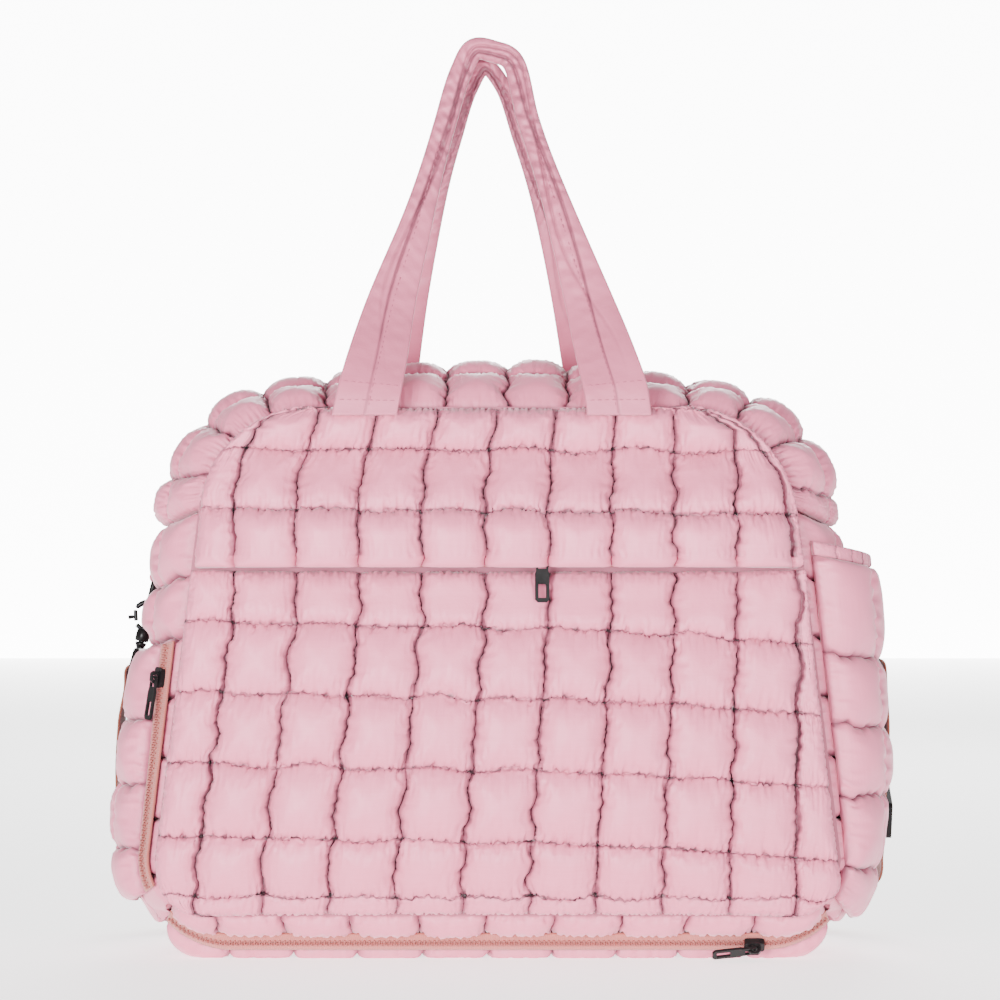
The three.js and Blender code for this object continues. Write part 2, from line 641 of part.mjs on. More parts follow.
function ringGeometry() {
  const points = [vec(0, -11, 0), vec(0, -4, 0), vec(0, 4, 0), vec(0, 11, 0)];
  for (const angle of [8, -15, -40, -65, -90, -115, -140, -165, -188]) {
    const turn = THREE.MathUtils.degToRad(angle);
    points.push(vec(0, RING.half * Math.cos(turn), -RING.drop + RING.half * Math.sin(turn)));
  }
  return wireLoop(points, 30, RING.wire, vec(1, 0, 0));
}

function tabGeometry() {
  const outer = TAB.eye + TAB.thick;
  const outline = new THREE.Shape();
  outline.moveTo(-outer, TAB.height);
  outline.lineTo(-outer, 0);
  outline.absarc(0, 0, outer, Math.PI, 2.5 * Math.PI, false);
  outline.lineTo(-outer + 2.6, outer + 1.4);
  outline.lineTo(-outer + 2.6, TAB.height);
  outline.closePath();
  const hole = new THREE.Path();
  hole.absarc(0, 0, TAB.eye, 0, 2 * Math.PI, true);
  outline.holes.push(hole);
  const geometry = new THREE.ExtrudeGeometry(outline, { depth: TAB.width, bevelEnabled: false, curveSegments: 8 });
  geometry.translate(0, 0, -TAB.width / 2);
  geometry.rotateX(Math.PI / 2);
  return geometry;
}

const onCrook = (angle) => {
  const turn = THREE.MathUtils.degToRad(angle);
  return vec(HOOK.radius * Math.cos(turn), 0, HOOK.centre + HOOK.radius * Math.sin(turn));
};

function lathe(profile) {
  const geometry = new THREE.LatheGeometry(profile.map(([r, z]) => new THREE.Vector2(r, z)), 12);
  geometry.rotateX(Math.PI / 2);
  return outwards(geometry);
}

function hookGeometry() {
  const crook = curve([270, 240, 210, 180, 150, 120, 90, 60, 35, 22].map(onCrook));
  const wire = ringLoft(stripRings(crook, 16, () => vec(0, 1, 0),
    (t) => [HOOK.wire - 0.8 * t, HOOK.wire + 1 - 1.8 * t], WIRE_SECTION));
  const root = HOOK.barrel;
  const barrel = lathe([
    [0, root], [3, root], [4.2, root - 1.6], [4.2, root - 8], [2.4, root - 8], [2.4, root - 3], [0, root - 3],
  ]);
  // A short horn beside the barrel carries the gate's pin.
  const horn = ringLoft(stripRings(curve([vec(0, 0, root - 1.5), vec(3.6, 0, root + 0.3), onCrook(-50)]), 6,
    () => vec(0, 1, 0), () => [2.6, 3.2], WIRE_SECTION));
  return join(wire, barrel, horn);
}

function gateGeometry() {
  const foot = onCrook(-50);
  const tip = onCrook(14);
  const reach = tip.clone().sub(foot);
  const from = foot.clone().addScaledVector(reach, 0.24);
  const bar = ringLoft(stripRings(new THREE.LineCurve3(from, tip), 4, () => vec(0, 1, 0),
    () => [2.2, 3], WIRE_SECTION));
  // A thumb lever stands out from the gate.
  const middle = foot.clone().addScaledVector(reach, 0.5);
  const lever = ringLoft(stripRings(new THREE.LineCurve3(middle, middle.clone().add(vec(4.5, 0, -1.5))), 2,
    () => vec(0, 1, 0), () => [1.8, 3], WIRE_SECTION));
  return join(bar, lever);
}

function eyeGeometry() {
  const root = HOOK.barrel;
  const stem = lathe([
    [0, root - 3.6], [1.9, root - 3.6], [1.9, root - 8.6], [3.4, root - 8.6], [3.4, root - 10.4],
    [2, EYE.top], [0, EYE.top],
  ]);
  const middle = (EYE.top + EYE.bottom) / 2;
  const half = EYE.half;
  const loop = wireLoop([
    vec(0, -12, EYE.top), vec(0, 12, EYE.top), vec(0, half - 1.5, EYE.top - 0.6), vec(0, half, EYE.top - 3),
    vec(0, half, middle), vec(0, half, EYE.bottom + 3), vec(0, half - 1.5, EYE.bottom + 0.6),
    vec(0, 12, EYE.bottom), vec(0, -12, EYE.bottom), vec(0, 1.5 - half, EYE.bottom + 0.6),
    vec(0, -half, EYE.bottom + 3), vec(0, -half, middle), vec(0, -half, EYE.top - 3), vec(0, 1.5 - half, EYE.top - 0.6),
  ], 34, EYE.wire, vec(1, 0, 0));
  return join(stem, loop);
}

function makeChain(side, bar) {
  const chain = chainMatrix(bar, CHAIN_TILT[side]);
  const hung = (geometry) => geometry.applyMatrix4(chain);
  add(`${side}_ring_tab`, tabGeometry().applyMatrix4(chainMatrix(bar, TAB_TILT)), quiltCloth());
  add(`${side}_d_ring`, hung(ringGeometry()), blackMetal());
  add(`${side}_hook`, hung(hookGeometry()), blackMetal());
  add(`${side}_hook_gate`, hung(gateGeometry()), blackMetal());
  add(`${side}_hook_eye`, hung(eyeGeometry()), blackMetal());
}

// ---------------------------------------------------------------- shoulder strap
const TURN = 3.6; // radius of the webbing's middle around an eye's bar
const ADJUSTER = { width: 45, height: 24, thick: 3, slot: 39, slotHigh: 6.4 };

// Points of the webbing's turn around an eye's bar, from the inner side over to the outer side.
function turnPoints(bar, tilt) {
  const chain = chainMatrix(bar, tilt);
  return [180, 135, 90, 45, 0].map((angle) => {
    const turn = THREE.MathUtils.degToRad(angle);
    return vec(TURN * Math.cos(turn), 0, EYE.bottom + TURN * Math.sin(turn)).applyMatrix4(chain);
  });
}

// The whole strap, from its free end inside the right turn to its sewn end inside the left one.
// The spans between whole numbers of splits are separate pieces, so that each end can swing.
const STRAP_SPLITS = [13, 29];
const SPLIT_GAP = 0.012; // of a span

function strapPath() {
  const right = turnPoints(RIGHT_BAR, CHAIN_TILT.right);
  const left = turnPoints(LEFT_BAR, CHAIN_TILT.left).reverse();
  return curve([
    vec(234.2, 66, 115), vec(233.6, 58, 132), vec(231.5, 52, 152), ...right,
    vec(236.5, 52, 152), vec(238, 58, 132), vec(238, 66, 115), vec(238, 74, 98), vec(238, 84, 77),
    vec(238, 94, 56), vec(236.5, 103.5, 38), vec(222, 113, 20), vec(201, 120, 7.5), vec(180, 125, 1.9),
    vec(158, 129, 1.5), vec(100, 134, 1.5), vec(50, 131, 1.5), vec(0, 127, 1.5), vec(-50, 129, 1.5),
    vec(-100, 132, 1.5), vec(-156, 129, 1.5), vec(-178, 125, 1.9), vec(-198, 120, 7.5), vec(-219, 113, 20),
    vec(-233.5, 103.5, 38), vec(-235, 94, 56), vec(-235, 84, 77), vec(-234, 74, 98), vec(-233, 66, 115),
    vec(-230.5, 57, 138), vec(-227, 51, 156), ...left, vec(-221, 51, 154), vec(-224.5, 57, 136),
    vec(-227, 63, 122),
  ]);
}

// The webbing between two places on the path, counted in its spans.
function webbing(path, from, to) {
  const spans = path.points.length - 1;
  const steps = 3 * Math.ceil(to - from);
  const rings = [];
  for (let k = 0; k <= steps; k += 1) {
    const t = lerp(from, to, k / steps) / spans;
    const centre = path.getPoint(t);
    const along = path.getTangent(t);
    const face = along.clone().cross(vec(0, 1, 0)).normalize();
    const across = along.clone().cross(face).normalize();
    rings.push(FLAT_SECTION.map(([a, b]) =>
      centre.clone().addScaledVector(across, a * WEB_WIDTH).addScaledVector(face, b * WEB_THICK)));
  }
  return ringLoft(rings);
}

function makeStrap() {
  const path = strapPath();
  const [right, left] = STRAP_SPLITS;
  add("strap_right_end", webbing(path, 0, right - SPLIT_GAP), webbingCloth());
  add("strap_webbing", webbing(path, right + SPLIT_GAP, left - SPLIT_GAP), webbingCloth());
  add("strap_left_end", webbing(path, left + SPLIT_GAP, path.points.length - 1), webbingCloth());

  // The adjuster: a flat slide with two slots, on the outer face of the webbing.
  const slots = [-1, 1].map((side) => {
    const middle = side * (ADJUSTER.slotHigh / 2 + 2);
    return slot(middle - ADJUSTER.slotHigh / 2, middle + ADJUSTER.slotHigh / 2, ADJUSTER.slot / 2);
  });
  const plate = roundedBox(ADJUSTER.width, ADJUSTER.height, ADJUSTER.thick, 3, slots);
  const along = vec(0, 66, 115).sub(vec(0, 94, 56)).normalize();
  const out = vec(1, 0, 0);
  const middle = vec(238, 82, 81.2).addScaledVector(out, WEB_THICK / 2 + 0.5);
  plate.applyMatrix4(new THREE.Matrix4().makeBasis(along.clone().cross(out), along, out).setPosition(middle));
  add("strap_adjuster", plate, blackMetal());
}

makePanels();
makeBand();
makeInside();
makeZips();
makeSidePockets();
makeHandles();
makeChain("right", RIGHT_BAR);
makeChain("left", LEFT_BAR);
makeStrap();

export default group;
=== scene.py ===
"""A quilted diaper bag: puffy satin nylon panels, zips, carry handles and a clip-on strap.

Lengths are in millimetres in the maths below, and turned to metres when a mesh is made.
+X is the bag's right as seen from the front, +Y points to its back, +Z is up.
"""
import json
import math
from types import SimpleNamespace as Bunch

import bpy
import numpy as np
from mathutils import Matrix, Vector


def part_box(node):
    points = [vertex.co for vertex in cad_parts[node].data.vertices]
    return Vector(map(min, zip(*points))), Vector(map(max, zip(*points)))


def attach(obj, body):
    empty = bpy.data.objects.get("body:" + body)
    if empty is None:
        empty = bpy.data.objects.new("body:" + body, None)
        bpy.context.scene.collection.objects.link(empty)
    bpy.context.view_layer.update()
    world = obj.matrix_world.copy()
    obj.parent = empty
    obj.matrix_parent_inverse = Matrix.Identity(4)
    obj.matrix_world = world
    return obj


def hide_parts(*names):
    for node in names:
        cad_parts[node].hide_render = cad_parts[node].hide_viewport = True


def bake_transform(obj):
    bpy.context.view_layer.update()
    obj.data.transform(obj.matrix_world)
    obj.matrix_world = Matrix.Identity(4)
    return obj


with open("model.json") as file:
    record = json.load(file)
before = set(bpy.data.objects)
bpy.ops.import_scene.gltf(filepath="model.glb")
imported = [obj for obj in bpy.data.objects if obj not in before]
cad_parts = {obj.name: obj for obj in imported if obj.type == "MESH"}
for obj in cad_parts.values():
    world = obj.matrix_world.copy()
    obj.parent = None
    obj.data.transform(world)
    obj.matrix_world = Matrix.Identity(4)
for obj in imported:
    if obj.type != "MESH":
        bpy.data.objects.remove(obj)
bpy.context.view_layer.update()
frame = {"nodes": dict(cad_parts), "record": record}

MM = 0.001
SEED = 7
REST_HEIGHT = 0.3  # cloth lies this high on the floor
BAG_MIDDLE = np.array([0, 0, 170.0])

# ---------------------------------------------------------------- the bag's driving sizes
HALF_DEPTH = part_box("right_gusset")[1].y / MM  # from the middle to the panels' seams
PANEL = Bunch(half_bottom=203, half_top=166, bottom=29, top=324, foot=34, shoulder=58, arch=0)
MIDDLE = Bunch(half_bottom=222, half_top=196, bottom=0, top=351, foot=60, shoulder=84, arch=540)
WALL = 8.0  # quilted wall
FLAP_WALL = 4.5  # the flap's, where no seam reaches deeper
POCKET_BACK = -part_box("front_pocket_panel")[1].y / MM  # distance of the pocket's back from the middle
POCKET_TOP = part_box("front_pocket_panel")[1].z / MM
POCKET_BULGE = 18.0
FLAP_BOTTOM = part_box("front_flap")[0].z / MM
FLAP_STAND = 19.0
BACK_BULGE = 9.0
ZIP_HALF = 13.0


# ---------------------------------------------------------------- small maths
def lerp(a, b, t):
    return a + (b - a) * t


def smooth(t):
    t = np.clip(t, 0, 1)
    return t * t * (3 - 2 * t)


def unit(v):
    return v / (np.linalg.norm(v, axis=-1, keepdims=True) + 1e-9)


def distance(line):
    """How far along a line each of its points lies."""
    return np.concatenate([[0], np.cumsum(np.linalg.norm(np.diff(line, axis=0), axis=1))])


def ease(count, steps, crowding):
    """Stations over count cells with steps each, crowded towards the cells' seams."""
    t = np.arange(count * steps + 1) / steps
    cell = np.minimum(np.floor(t), count - 1)
    a = t - cell
    return cell + lerp(a, 0.5 - 0.5 * np.cos(np.pi * a), crowding)


# ---------------------------------------------------------------- outlines of the bag
def slant(shape, z):
    return lerp(shape.half_bottom, shape.half_top, (z - shape.bottom) / (shape.top - shape.bottom))


def half_width(shape, z):
    """Half width of a panel at height z, with its rounded corners."""
    high = np.clip(z - (shape.top - shape.shoulder), 0, shape.shoulder)
    low = np.clip(shape.bottom + shape.foot - z, 0, shape.foot)
    top = shape.shoulder - np.sqrt(shape.shoulder**2 - high**2)
    foot = shape.foot - np.sqrt(shape.foot**2 - low**2)
    return slant(shape, z) - top - foot


def outline(shape, stretch, t):
    """Points [x, z] on the right half of an outline."""
    foot_x = slant(shape, shape.bottom + shape.foot) - shape.foot
    top_x = slant(shape, shape.top - shape.shoulder) - shape.shoulder
    drop = top_x * top_x / (2 * shape.arch) if shape.arch else 0
    top_z = shape.top - drop - shape.shoulder
    foot_z = shape.bottom + shape.foot
    if stretch == "base":
        return np.stack([lerp(-foot_x, foot_x, t), np.full_like(t, shape.bottom)], -1)
    if stretch == "foot":
        a = -np.pi / 2 + t * np.pi / 2
        return np.stack([foot_x + shape.foot * np.cos(a), foot_z + shape.foot * np.sin(a)], -1)
    if stretch == "side":
        return np.stack([lerp(foot_x + shape.foot, top_x + shape.shoulder, t), lerp(foot_z, top_z, t)], -1)
    if stretch == "shoulder":
        a = t * np.pi / 2
        return np.stack([top_x + shape.shoulder * np.cos(a), top_z + shape.shoulder * np.sin(a)], -1)
    x = lerp(top_x, -top_x, t)
    sag = x * x / (2 * shape.arch) if shape.arch else 0 * x
    return np.stack([x, shape.top - sag], -1)


def side_bulge(y):
    return 1 - np.abs(np.clip(y / HALF_DEPTH, -1, 1)) ** 2.5


def base_bulge(y):
    return np.minimum(1, 1.5 * (1 - np.clip(y / HALF_DEPTH, -1, 1) ** 2))


class Band:
    """A run of the band between the panels: stretches joined end to end, measured along its middle."""

    def __init__(self, runs):
        edge, middle, base = [], [], []
        for stretch, start, end, mirror in runs:
            t = np.linspace(start, end, 60)
            flip = np.array([-1 if mirror else 1, 1])
            edge.append(outline(PANEL, stretch, t) * flip)
            middle.append(outline(MIDDLE, stretch, t) * flip)
            share = {"base": np.ones_like(t), "foot": 1 - t}.get(stretch, np.zeros_like(t))
            base.append(share)
        self.edge, self.middle = np.concatenate(edge), np.concatenate(middle)
        self.base = np.concatenate(base)
        self.at = distance(lerp(self.edge, self.middle, 0.6))
        self.length = self.at[-1]

    def place(self, s, y):
        """Points on the band's outer surface at s along it and depth y."""
        s, y = np.broadcast_arrays(s, y)
        pick = lambda values: np.interp(s, self.at, values)
        bulge = lerp(side_bulge(y), base_bulge(y), pick(self.base))
        x = lerp(pick(self.edge[:, 0]), pick(self.middle[:, 0]), bulge)
        z = lerp(pick(self.edge[:, 1]), pick(self.middle[:, 1]), bulge)
        return np.stack([x, y, z], -1)

    def station(self, height, near):
        """Where along the band its middle crosses a height, nearest to near."""
        cost = np.abs(self.middle[:, 1] - height) + 0.02 * np.abs(self.at - near)
        return self.at[np.argmin(cost)]


LEFT_POCKET = Bunch(foot=0.72, high=0.62, front=-62, back=31, bulge=9)
RIGHT_POCKET = Bunch(foot=0.6, high=0.865, front=-76, back=31, bulge=13, hem=0.04)
TOP_BAND = Band([("shoulder", 0, 1, False), ("arch", 0, 1, False), ("shoulder", 1, 0, True)])
BASE_BAND = Band([("foot", 0.48, 0, True), ("base", 0, 1, False), ("foot", 0, 0.48, False)])
LEFT_POCKET_BAND = Band([("foot", LEFT_POCKET.foot, 1, True), ("side", 0, LEFT_POCKET.high, True)])


# ---------------------------------------------------------------- cloth
def tug(p, free, a, b, rest, stiffness):
    """Moves the two ends of each thread towards its rest length. a and b are slices of the grid."""
    d = p[b] - p[a]
    length = np.sqrt(np.einsum("...i,...i", d, d)) + 1e-5
    fa, fb = free[a], free[b]
    c = (stiffness * (length - rest) / (length * (fa + fb + 1e-6)))[..., None] * d
    p[a] += fa[..., None] * c
    p[b] -= fb[..., None] * c


def threads(shape):
    """Slices of a grid's threads, in batches that share no point: along, across and diagonal."""
    every, first, last = slice(None), slice(None, -1), slice(1, None)
    for odd in (0, 1):
        even, other = slice(odd, shape[0] - 1, 2), slice(odd + 1, None, 2)
        yield "u", (even, every), (other, every)
        yield "d", (even, first), (other, last)
        yield "d", (even, last), (other, first)
        even, other = slice(odd, shape[1] - 1, 2), slice(odd + 1, None, 2)
        yield "v", (every, even), (every, other)


HOLD = 0.007  # share of its puckers that the wadding takes back in each round
BEND = 0.1  # how stiffly the cloth resists creases
RIPPLE = 0.7  # how uneven the cloth starts


def settle(base, free, extra_u, extra_v, rng, rounds):
    """The cloth over a padded base: its threads are longer than the base by extra_u along the
    grid and extra_v across it, so it puckers, while the wadding holds it back to the base."""
    base = base.astype(np.float32)
    free = free.astype(np.float32)
    p = base + free[..., None] * rng.normal(0, RIPPLE, base.shape).astype(np.float32)
    work = []
    for kind, a, b in threads(base.shape):
        length = np.linalg.norm(base[b] - base[a], axis=-1)
        eu, ev = (extra_u[a] + extra_u[b]) / 2, (extra_v[a] + extra_v[b]) / 2
        extra = {"u": eu, "v": ev, "d": (eu + ev) / 2}[kind]
        stiffness = 0.35 if kind == "d" else 0.9
        work.append((a, b, (length * (1 + extra)).astype(np.float32), stiffness))
    inner = (slice(1, -1), slice(1, -1))
    soft = (BEND * free[inner])[..., None]
    for _ in range(rounds):
        d = p - base
        around = d[2:, 1:-1] + d[:-2, 1:-1] + d[1:-1, 2:] + d[1:-1, :-2]
        d[inner] += soft * (around / 4 - d[inner])
        p = base + d * (1 - HOLD * free[..., None])
        for a, b, rest, stiffness in work:
            tug(p, free, a, b, rest, stiffness)
    return p.astype(float)


def normals(grid):
    """Unit normals of a grid of points."""
    return unit(np.cross(np.gradient(grid, axis=0), np.gradient(grid, axis=1)))


def outwards(grid):
    """Unit normals of a grid of points, on the side away from the bag's middle."""
    out = normals(grid)
    return -out if np.mean(np.sum(out * (grid - BAG_MIDDLE), -1)) < 0 else out



def waves(length, rng, low, high, amplitude):
    """A wavy line over length: offsets at each station, with wavelengths from low to high."""
    total = np.zeros_like(length)
    for _ in range(4):
        wave = rng.uniform(low, high)
        total += np.sin(2 * np.pi * length / wave + rng.uniform(0, 2 * np.pi))
    return amplitude * total / 2


# ---------------------------------------------------------------- meshes
def mesh_object(name, points, faces, material, attributes=None):
    """A smooth mesh object from points in millimetres."""
    mesh = bpy.data.meshes.new(name)
    mesh.from_pydata((np.asarray(points) * MM).tolist(), [], faces)
    mesh.validate()
    mesh.shade_smooth()
    for key, values in (attributes or {}).items():
        values = np.asarray(values, np.float32)
        kind = "FLOAT_VECTOR" if values.ndim == 2 else "FLOAT"
        field = "vector" if values.ndim == 2 else "value"
        mesh.attributes.new(key, kind, "POINT").data.foreach_set(field, values.ravel())
    mesh.materials.append(material)
    obj = bpy.data.objects.new(name, mesh)
    bpy.context.scene.collection.objects.link(obj)
    return obj


def grid_faces(columns, rows, start=0, flip=False):
    """Quads of a grid of points that are numbered row by row along its second axis."""
    i, j = np.meshgrid(np.arange(columns - 1), np.arange(rows - 1), indexing="ij")
    a = start + i * rows + j
    quads = np.stack([a, a + rows, a + rows + 1, a + 1], -1).reshape(-1, 4)
    return quads[:, ::-1] if flip else quads


def closed_shell(outer, inner, step, out):
    """Points and faces of a closed piece: a fine outer grid that faces the way of out, an inner
    grid with every step-th line of it, and a rim between their edges."""
    nu, nv = outer.shape[:2]
    mu, mv = inner.shape[:2]
    start = nu * nv
    at = lambda i, j: i * nv + j
    under = lambda i, j: start + i * mv + j
    flat = np.concatenate([outer.reshape(-1, 3), inner.reshape(-1, 3)])
    faces = grid_faces(nu, nv).tolist() + grid_faces(mu, mv, start, True).tolist()
    for k in range(mu - 1):
        low = [at(i, 0) for i in range((k + 1) * step, k * step - 1, -1)]
        faces.append(low + [under(k, 0), under(k + 1, 0)])
        high = [at(i, nv - 1) for i in range(k * step, (k + 1) * step + 1)]
        faces.append(high + [under(k + 1, mv - 1), under(k, mv - 1)])
    for k in range(mv - 1):
        low = [at(0, j) for j in range(k * step, (k + 1) * step + 1)]
        faces.append(low + [under(0, k + 1), under(0, k)])
        high = [at(nu - 1, j) for j in range((k + 1) * step, k * step - 1, -1)]
        faces.append(high + [under(mu - 1, k), under(mu - 1, k + 1)])
    if np.mean(np.sum(normals(outer) * out, -1)) < 0:
        faces = [face[::-1] for face in faces]
    return flat, faces


# ---------------------------------------------------------------- materials
def shader(name):
    material = bpy.data.materials.new(name)
    material.use_nodes = True
    tree = material.node_tree
    return material, tree, tree.nodes["Principled BSDF"]


def node(tree, kind, inputs=None, **settings):
    made = tree.nodes.new(kind)
    for key, value in settings.items():
        setattr(made, key, value)
    for key, value in (inputs or {}).items():
        if isinstance(value, bpy.types.NodeSocket):
            tree.links.new(value, made.inputs[key])
        else:
            made.inputs[key].default_value = value
    return made


def maths(tree, operation, a, b=0.0, c=0.0, clamp=False):
    return node(tree, "ShaderNodeMath", {0: a, 1: b, 2: c}, operation=operation, use_clamp=clamp).outputs[0]


def mix_colour(tree, factor, a, b):
    return node(tree, "ShaderNodeMix", {0: factor, 6: a, 7: b}, data_type="RGBA").outputs[2]


def rgba(r, g, b):
    return (r, g, b, 1.0)


def noise(tree, vector, scale, detail, **more):
    inputs = {"Vector": vector, "Scale": scale, "Detail": detail, **more}
    return node(tree, "ShaderNodeTexNoise", inputs).outputs[0]


def satin_nylon(name, light, deep, roughness=0.46):
    """Satin nylon: a fine plain weave along the cloth's own threads, soft crumples, and painted shade that
    darkens the cloth in its seams and creases."""
    material, tree, bsdf = shader(name)
    cloth_at = node(tree, "ShaderNodeAttribute", attribute_name="cloth").outputs["Vector"]
    painted_shade = node(tree, "ShaderNodeAttribute", attribute_name="painted_shade").outputs["Fac"]
    place = node(tree, "ShaderNodeTexCoord").outputs["Object"]
    mottle = noise(tree, place, 38.0, 4.0, Roughness=0.6)
    fine = noise(tree, place, 420.0, 3.0, Roughness=0.65)
    slub_at = node(tree, "ShaderNodeMapping", {"Vector": cloth_at, "Scale": (3.0, 60.0, 3.0)}).outputs[0]
    slub = noise(tree, slub_at, 14.0, 2.0)
    tone = maths(tree, "MULTIPLY_ADD", mottle, 0.5, 0.1)
    tone = maths(tree, "ADD", tone, maths(tree, "MULTIPLY", slub, 0.35), clamp=True)
    colour = mix_colour(tree, tone, deep, light)
    # Painted shade: the colour is mixed towards a deep red where the seams and creases lie in shadow.
    colour = mix_colour(tree, maths(tree, "POWER", painted_shade, 1.15, clamp=True), colour, PAINTED_SHADE_COLOUR)
    tree.links.new(colour, bsdf.inputs["Base Color"])
    warp, weft = weave(tree, cloth_at, 1500.0)
    cloth = maths(tree, "ADD", maths(tree, "MULTIPLY", warp, 0.5), maths(tree, "MULTIPLY", weft, 0.5))
    rough = maths(tree, "MULTIPLY_ADD", fine, 0.16, roughness - 0.08)
    tree.links.new(rough, bsdf.inputs["Roughness"])
    bump = node(tree, "ShaderNodeBump", {"Height": cloth, "Strength": 0.25, "Distance": 0.00012})
    crumple = node(tree, "ShaderNodeBump", {"Height": fine, "Strength": 0.25, "Distance": 0.0006,
                                            "Normal": bump.outputs[0]})
    tree.links.new(crumple.outputs[0], bsdf.inputs["Normal"])
    bsdf.inputs["Sheen Weight"].default_value = 0.35
    bsdf.inputs["Sheen Roughness"].default_value = 0.38
    bsdf.inputs["Sheen Tint"].default_value = rgba(1.0, 0.86, 0.9)
    bsdf.inputs["Specular IOR Level"].default_value = 0.42
    return material


def weave(tree, vector, per_metre):
    """Two crossing sets of threads, per_metre of them."""
    sets = []
    for axis in ("X", "Y"):
        inputs = {"Vector": vector, "Scale": per_metre * math.pi / 10, "Distortion": 0.4, "Detail": 1.0,
                  "Detail Scale": 3.0}
        wave = node(tree, "ShaderNodeTexWave", inputs, bands_direction=axis)
        sets.append(wave.outputs["Fac"])
    return sets


def woven(name, light, dark, per_metre, rough=0.8, ribs=0.0003):
    """A coarse woven tape or webbing with ribs along its length."""
    material, tree, bsdf = shader(name)
    at = node(tree, "ShaderNodeAttribute", attribute_name="cloth").outputs["Vector"]
    warp, weft = weave(tree, at, per_metre)
    cross = maths(tree, "MULTIPLY", warp, weft)
    mottle = maths(tree, "MULTIPLY", noise(tree, at, 900.0, 3.0), 0.5)
    tone = maths(tree, "ADD", maths(tree, "MULTIPLY", cross, 0.6), mottle, clamp=True)
    tree.links.new(mix_colour(tree, tone, dark, light), bsdf.inputs["Base Color"])
    bump = node(tree, "ShaderNodeBump", {"Height": cross, "Strength": 0.7, "Distance": ribs})
    tree.links.new(bump.outputs[0], bsdf.inputs["Normal"])
    bsdf.inputs["Roughness"].default_value = rough
    bsdf.inputs["Sheen Weight"].default_value = 0.3
    return material


def nylon(name, light, dark, rough=0.4):
    """Plain nylon thread or coil."""
    material, tree, bsdf = shader(name)
    place = node(tree, "ShaderNodeTexCoord").outputs["Object"]
    grain = noise(tree, place, 700.0, 2.0)
    tree.links.new(mix_colour(tree, grain, dark, light), bsdf.inputs["Base Color"])
    bump = node(tree, "ShaderNodeBump", {"Height": grain, "Strength": 0.3, "Distance": 0.0001})
    tree.links.new(bump.outputs[0], bsdf.inputs["Normal"])
    bsdf.inputs["Roughness"].default_value = rough
    return material


def gloss_black(name):
    """Black plated zinc: glossy, a little orange-peel, with dull rubbed patches."""
    material, tree, bsdf = shader(name)
    place = node(tree, "ShaderNodeTexCoord").outputs["Object"]
    peel, rub = noise(tree, place, 600.0, 3.0), noise(tree, place, 120.0, 4.0)
    colour = mix_colour(tree, rub, rgba(0.004, 0.0035, 0.004), rgba(0.012, 0.011, 0.011))
    tree.links.new(colour, bsdf.inputs["Base Color"])
    rough = maths(tree, "MULTIPLY_ADD", rub, 0.2, 0.2)
    tree.links.new(rough, bsdf.inputs["Roughness"])
    bump = node(tree, "ShaderNodeBump", {"Height": peel, "Strength": 0.15, "Distance": 0.0002})
    tree.links.new(bump.outputs[0], bsdf.inputs["Normal"])
    bsdf.inputs["Specular IOR Level"].default_value = 0.12
    return material


# Painted shade: the dark red that the bottoms of seams and creases are mixed towards.
PAINTED_SHADE_COLOUR = rgba(0.022, 0.003, 0.007)
PINK = satin_nylon("pink_satin", rgba(0.72, 0.205, 0.31), rgba(0.58, 0.135, 0.22))
STRAP_CLOTH = satin_nylon("strap_satin", rgba(0.54, 0.145, 0.225), rgba(0.43, 0.1, 0.165), 0.5)
THREAD_CLOTH = nylon("sewing_thread", rgba(0.42, 0.1, 0.17), rgba(0.26, 0.05, 0.09), 0.5)
TAPE_CLOTH = woven("zip_tape", rgba(0.50, 0.13, 0.105), rgba(0.34, 0.075, 0.06), 900.0)
COIL_NYLON = nylon("zip_coil", rgba(0.36, 0.085, 0.07), rgba(0.22, 0.045, 0.04), 0.35)
WEBBING = woven("strap_webbing_weave", rgba(0.26, 0.07, 0.033), rgba(0.14, 0.032, 0.016), 420.0, 0.75, 0.0005)
BLACK_METAL = gloss_black("black_zinc")
LINING = woven("lining_weave", rgba(0.45, 0.15, 0.21), rgba(0.33, 0.095, 0.14), 900.0, 0.85, 0.0001)
BOARD = nylon("base_board_plastic", rgba(0.06, 0.055, 0.055), rgba(0.04, 0.036, 0.036), 0.7)


# ---------------------------------------------------------------- quilting
QUILT = Bunch(top=4.8, seam=12.0, cross=7.5, border=13.5, hem=8.8)
FINE = 34  # threads of the grid per cell on the faces seen from the front
COARSE = 22
ROUNDS = 200
STITCH = 4  # a needle hole at every so many threads of the grid


def pillow(a, sharp=2.1, power=0.5):
    return np.clip(1 - np.abs(2 * a - 1) ** sharp, 0, 1) ** power


def lengths(grid, axis):
    """How far along its line each point of a grid lies."""
    step = np.linalg.norm(np.diff(grid, axis=axis), axis=-1)
    pad = ((1, 0), (0, 0)) if axis == 0 else ((0, 0), (1, 0))
    return np.cumsum(np.pad(step, pad), axis)


def cell_sizes(ground, detail):
    """Width and height of each point's cell."""
    sizes = []
    for axis in (0, 1):
        lines = np.moveaxis(ground, axis, 0)[::detail]
        width = np.linalg.norm(np.diff(lines, axis=0), axis=-1)
        index = np.minimum(np.arange(ground.shape[axis]) // detail, len(width) - 1)
        sizes.append(np.moveaxis(width[index], 0, axis))
    return sizes


def side_of(depths, cell, a):
    """The depth of the seam that each point is nearer to."""
    depths = np.array(depths, float)
    return np.where(a < 0.5, depths[cell], depths[cell + 1])


def patchy(length, rng, pitch, low, high):
    """A smooth random line from low to high, which changes over about pitch."""
    spots = np.arange(-1, length.max() / pitch + 2)
    return np.interp(length / pitch, spots, rng.uniform(low, high, len(spots)))


def edged(border, seam, cells):
    """Depths of the seams around a number of cells, with a border at both ends."""
    return [border] + [seam] * (cells - 1) + [border]


def usual_seams(cells):
    return edged(QUILT.border, QUILT.seam, cells[0]), edged(QUILT.border, QUILT.cross, cells[1])


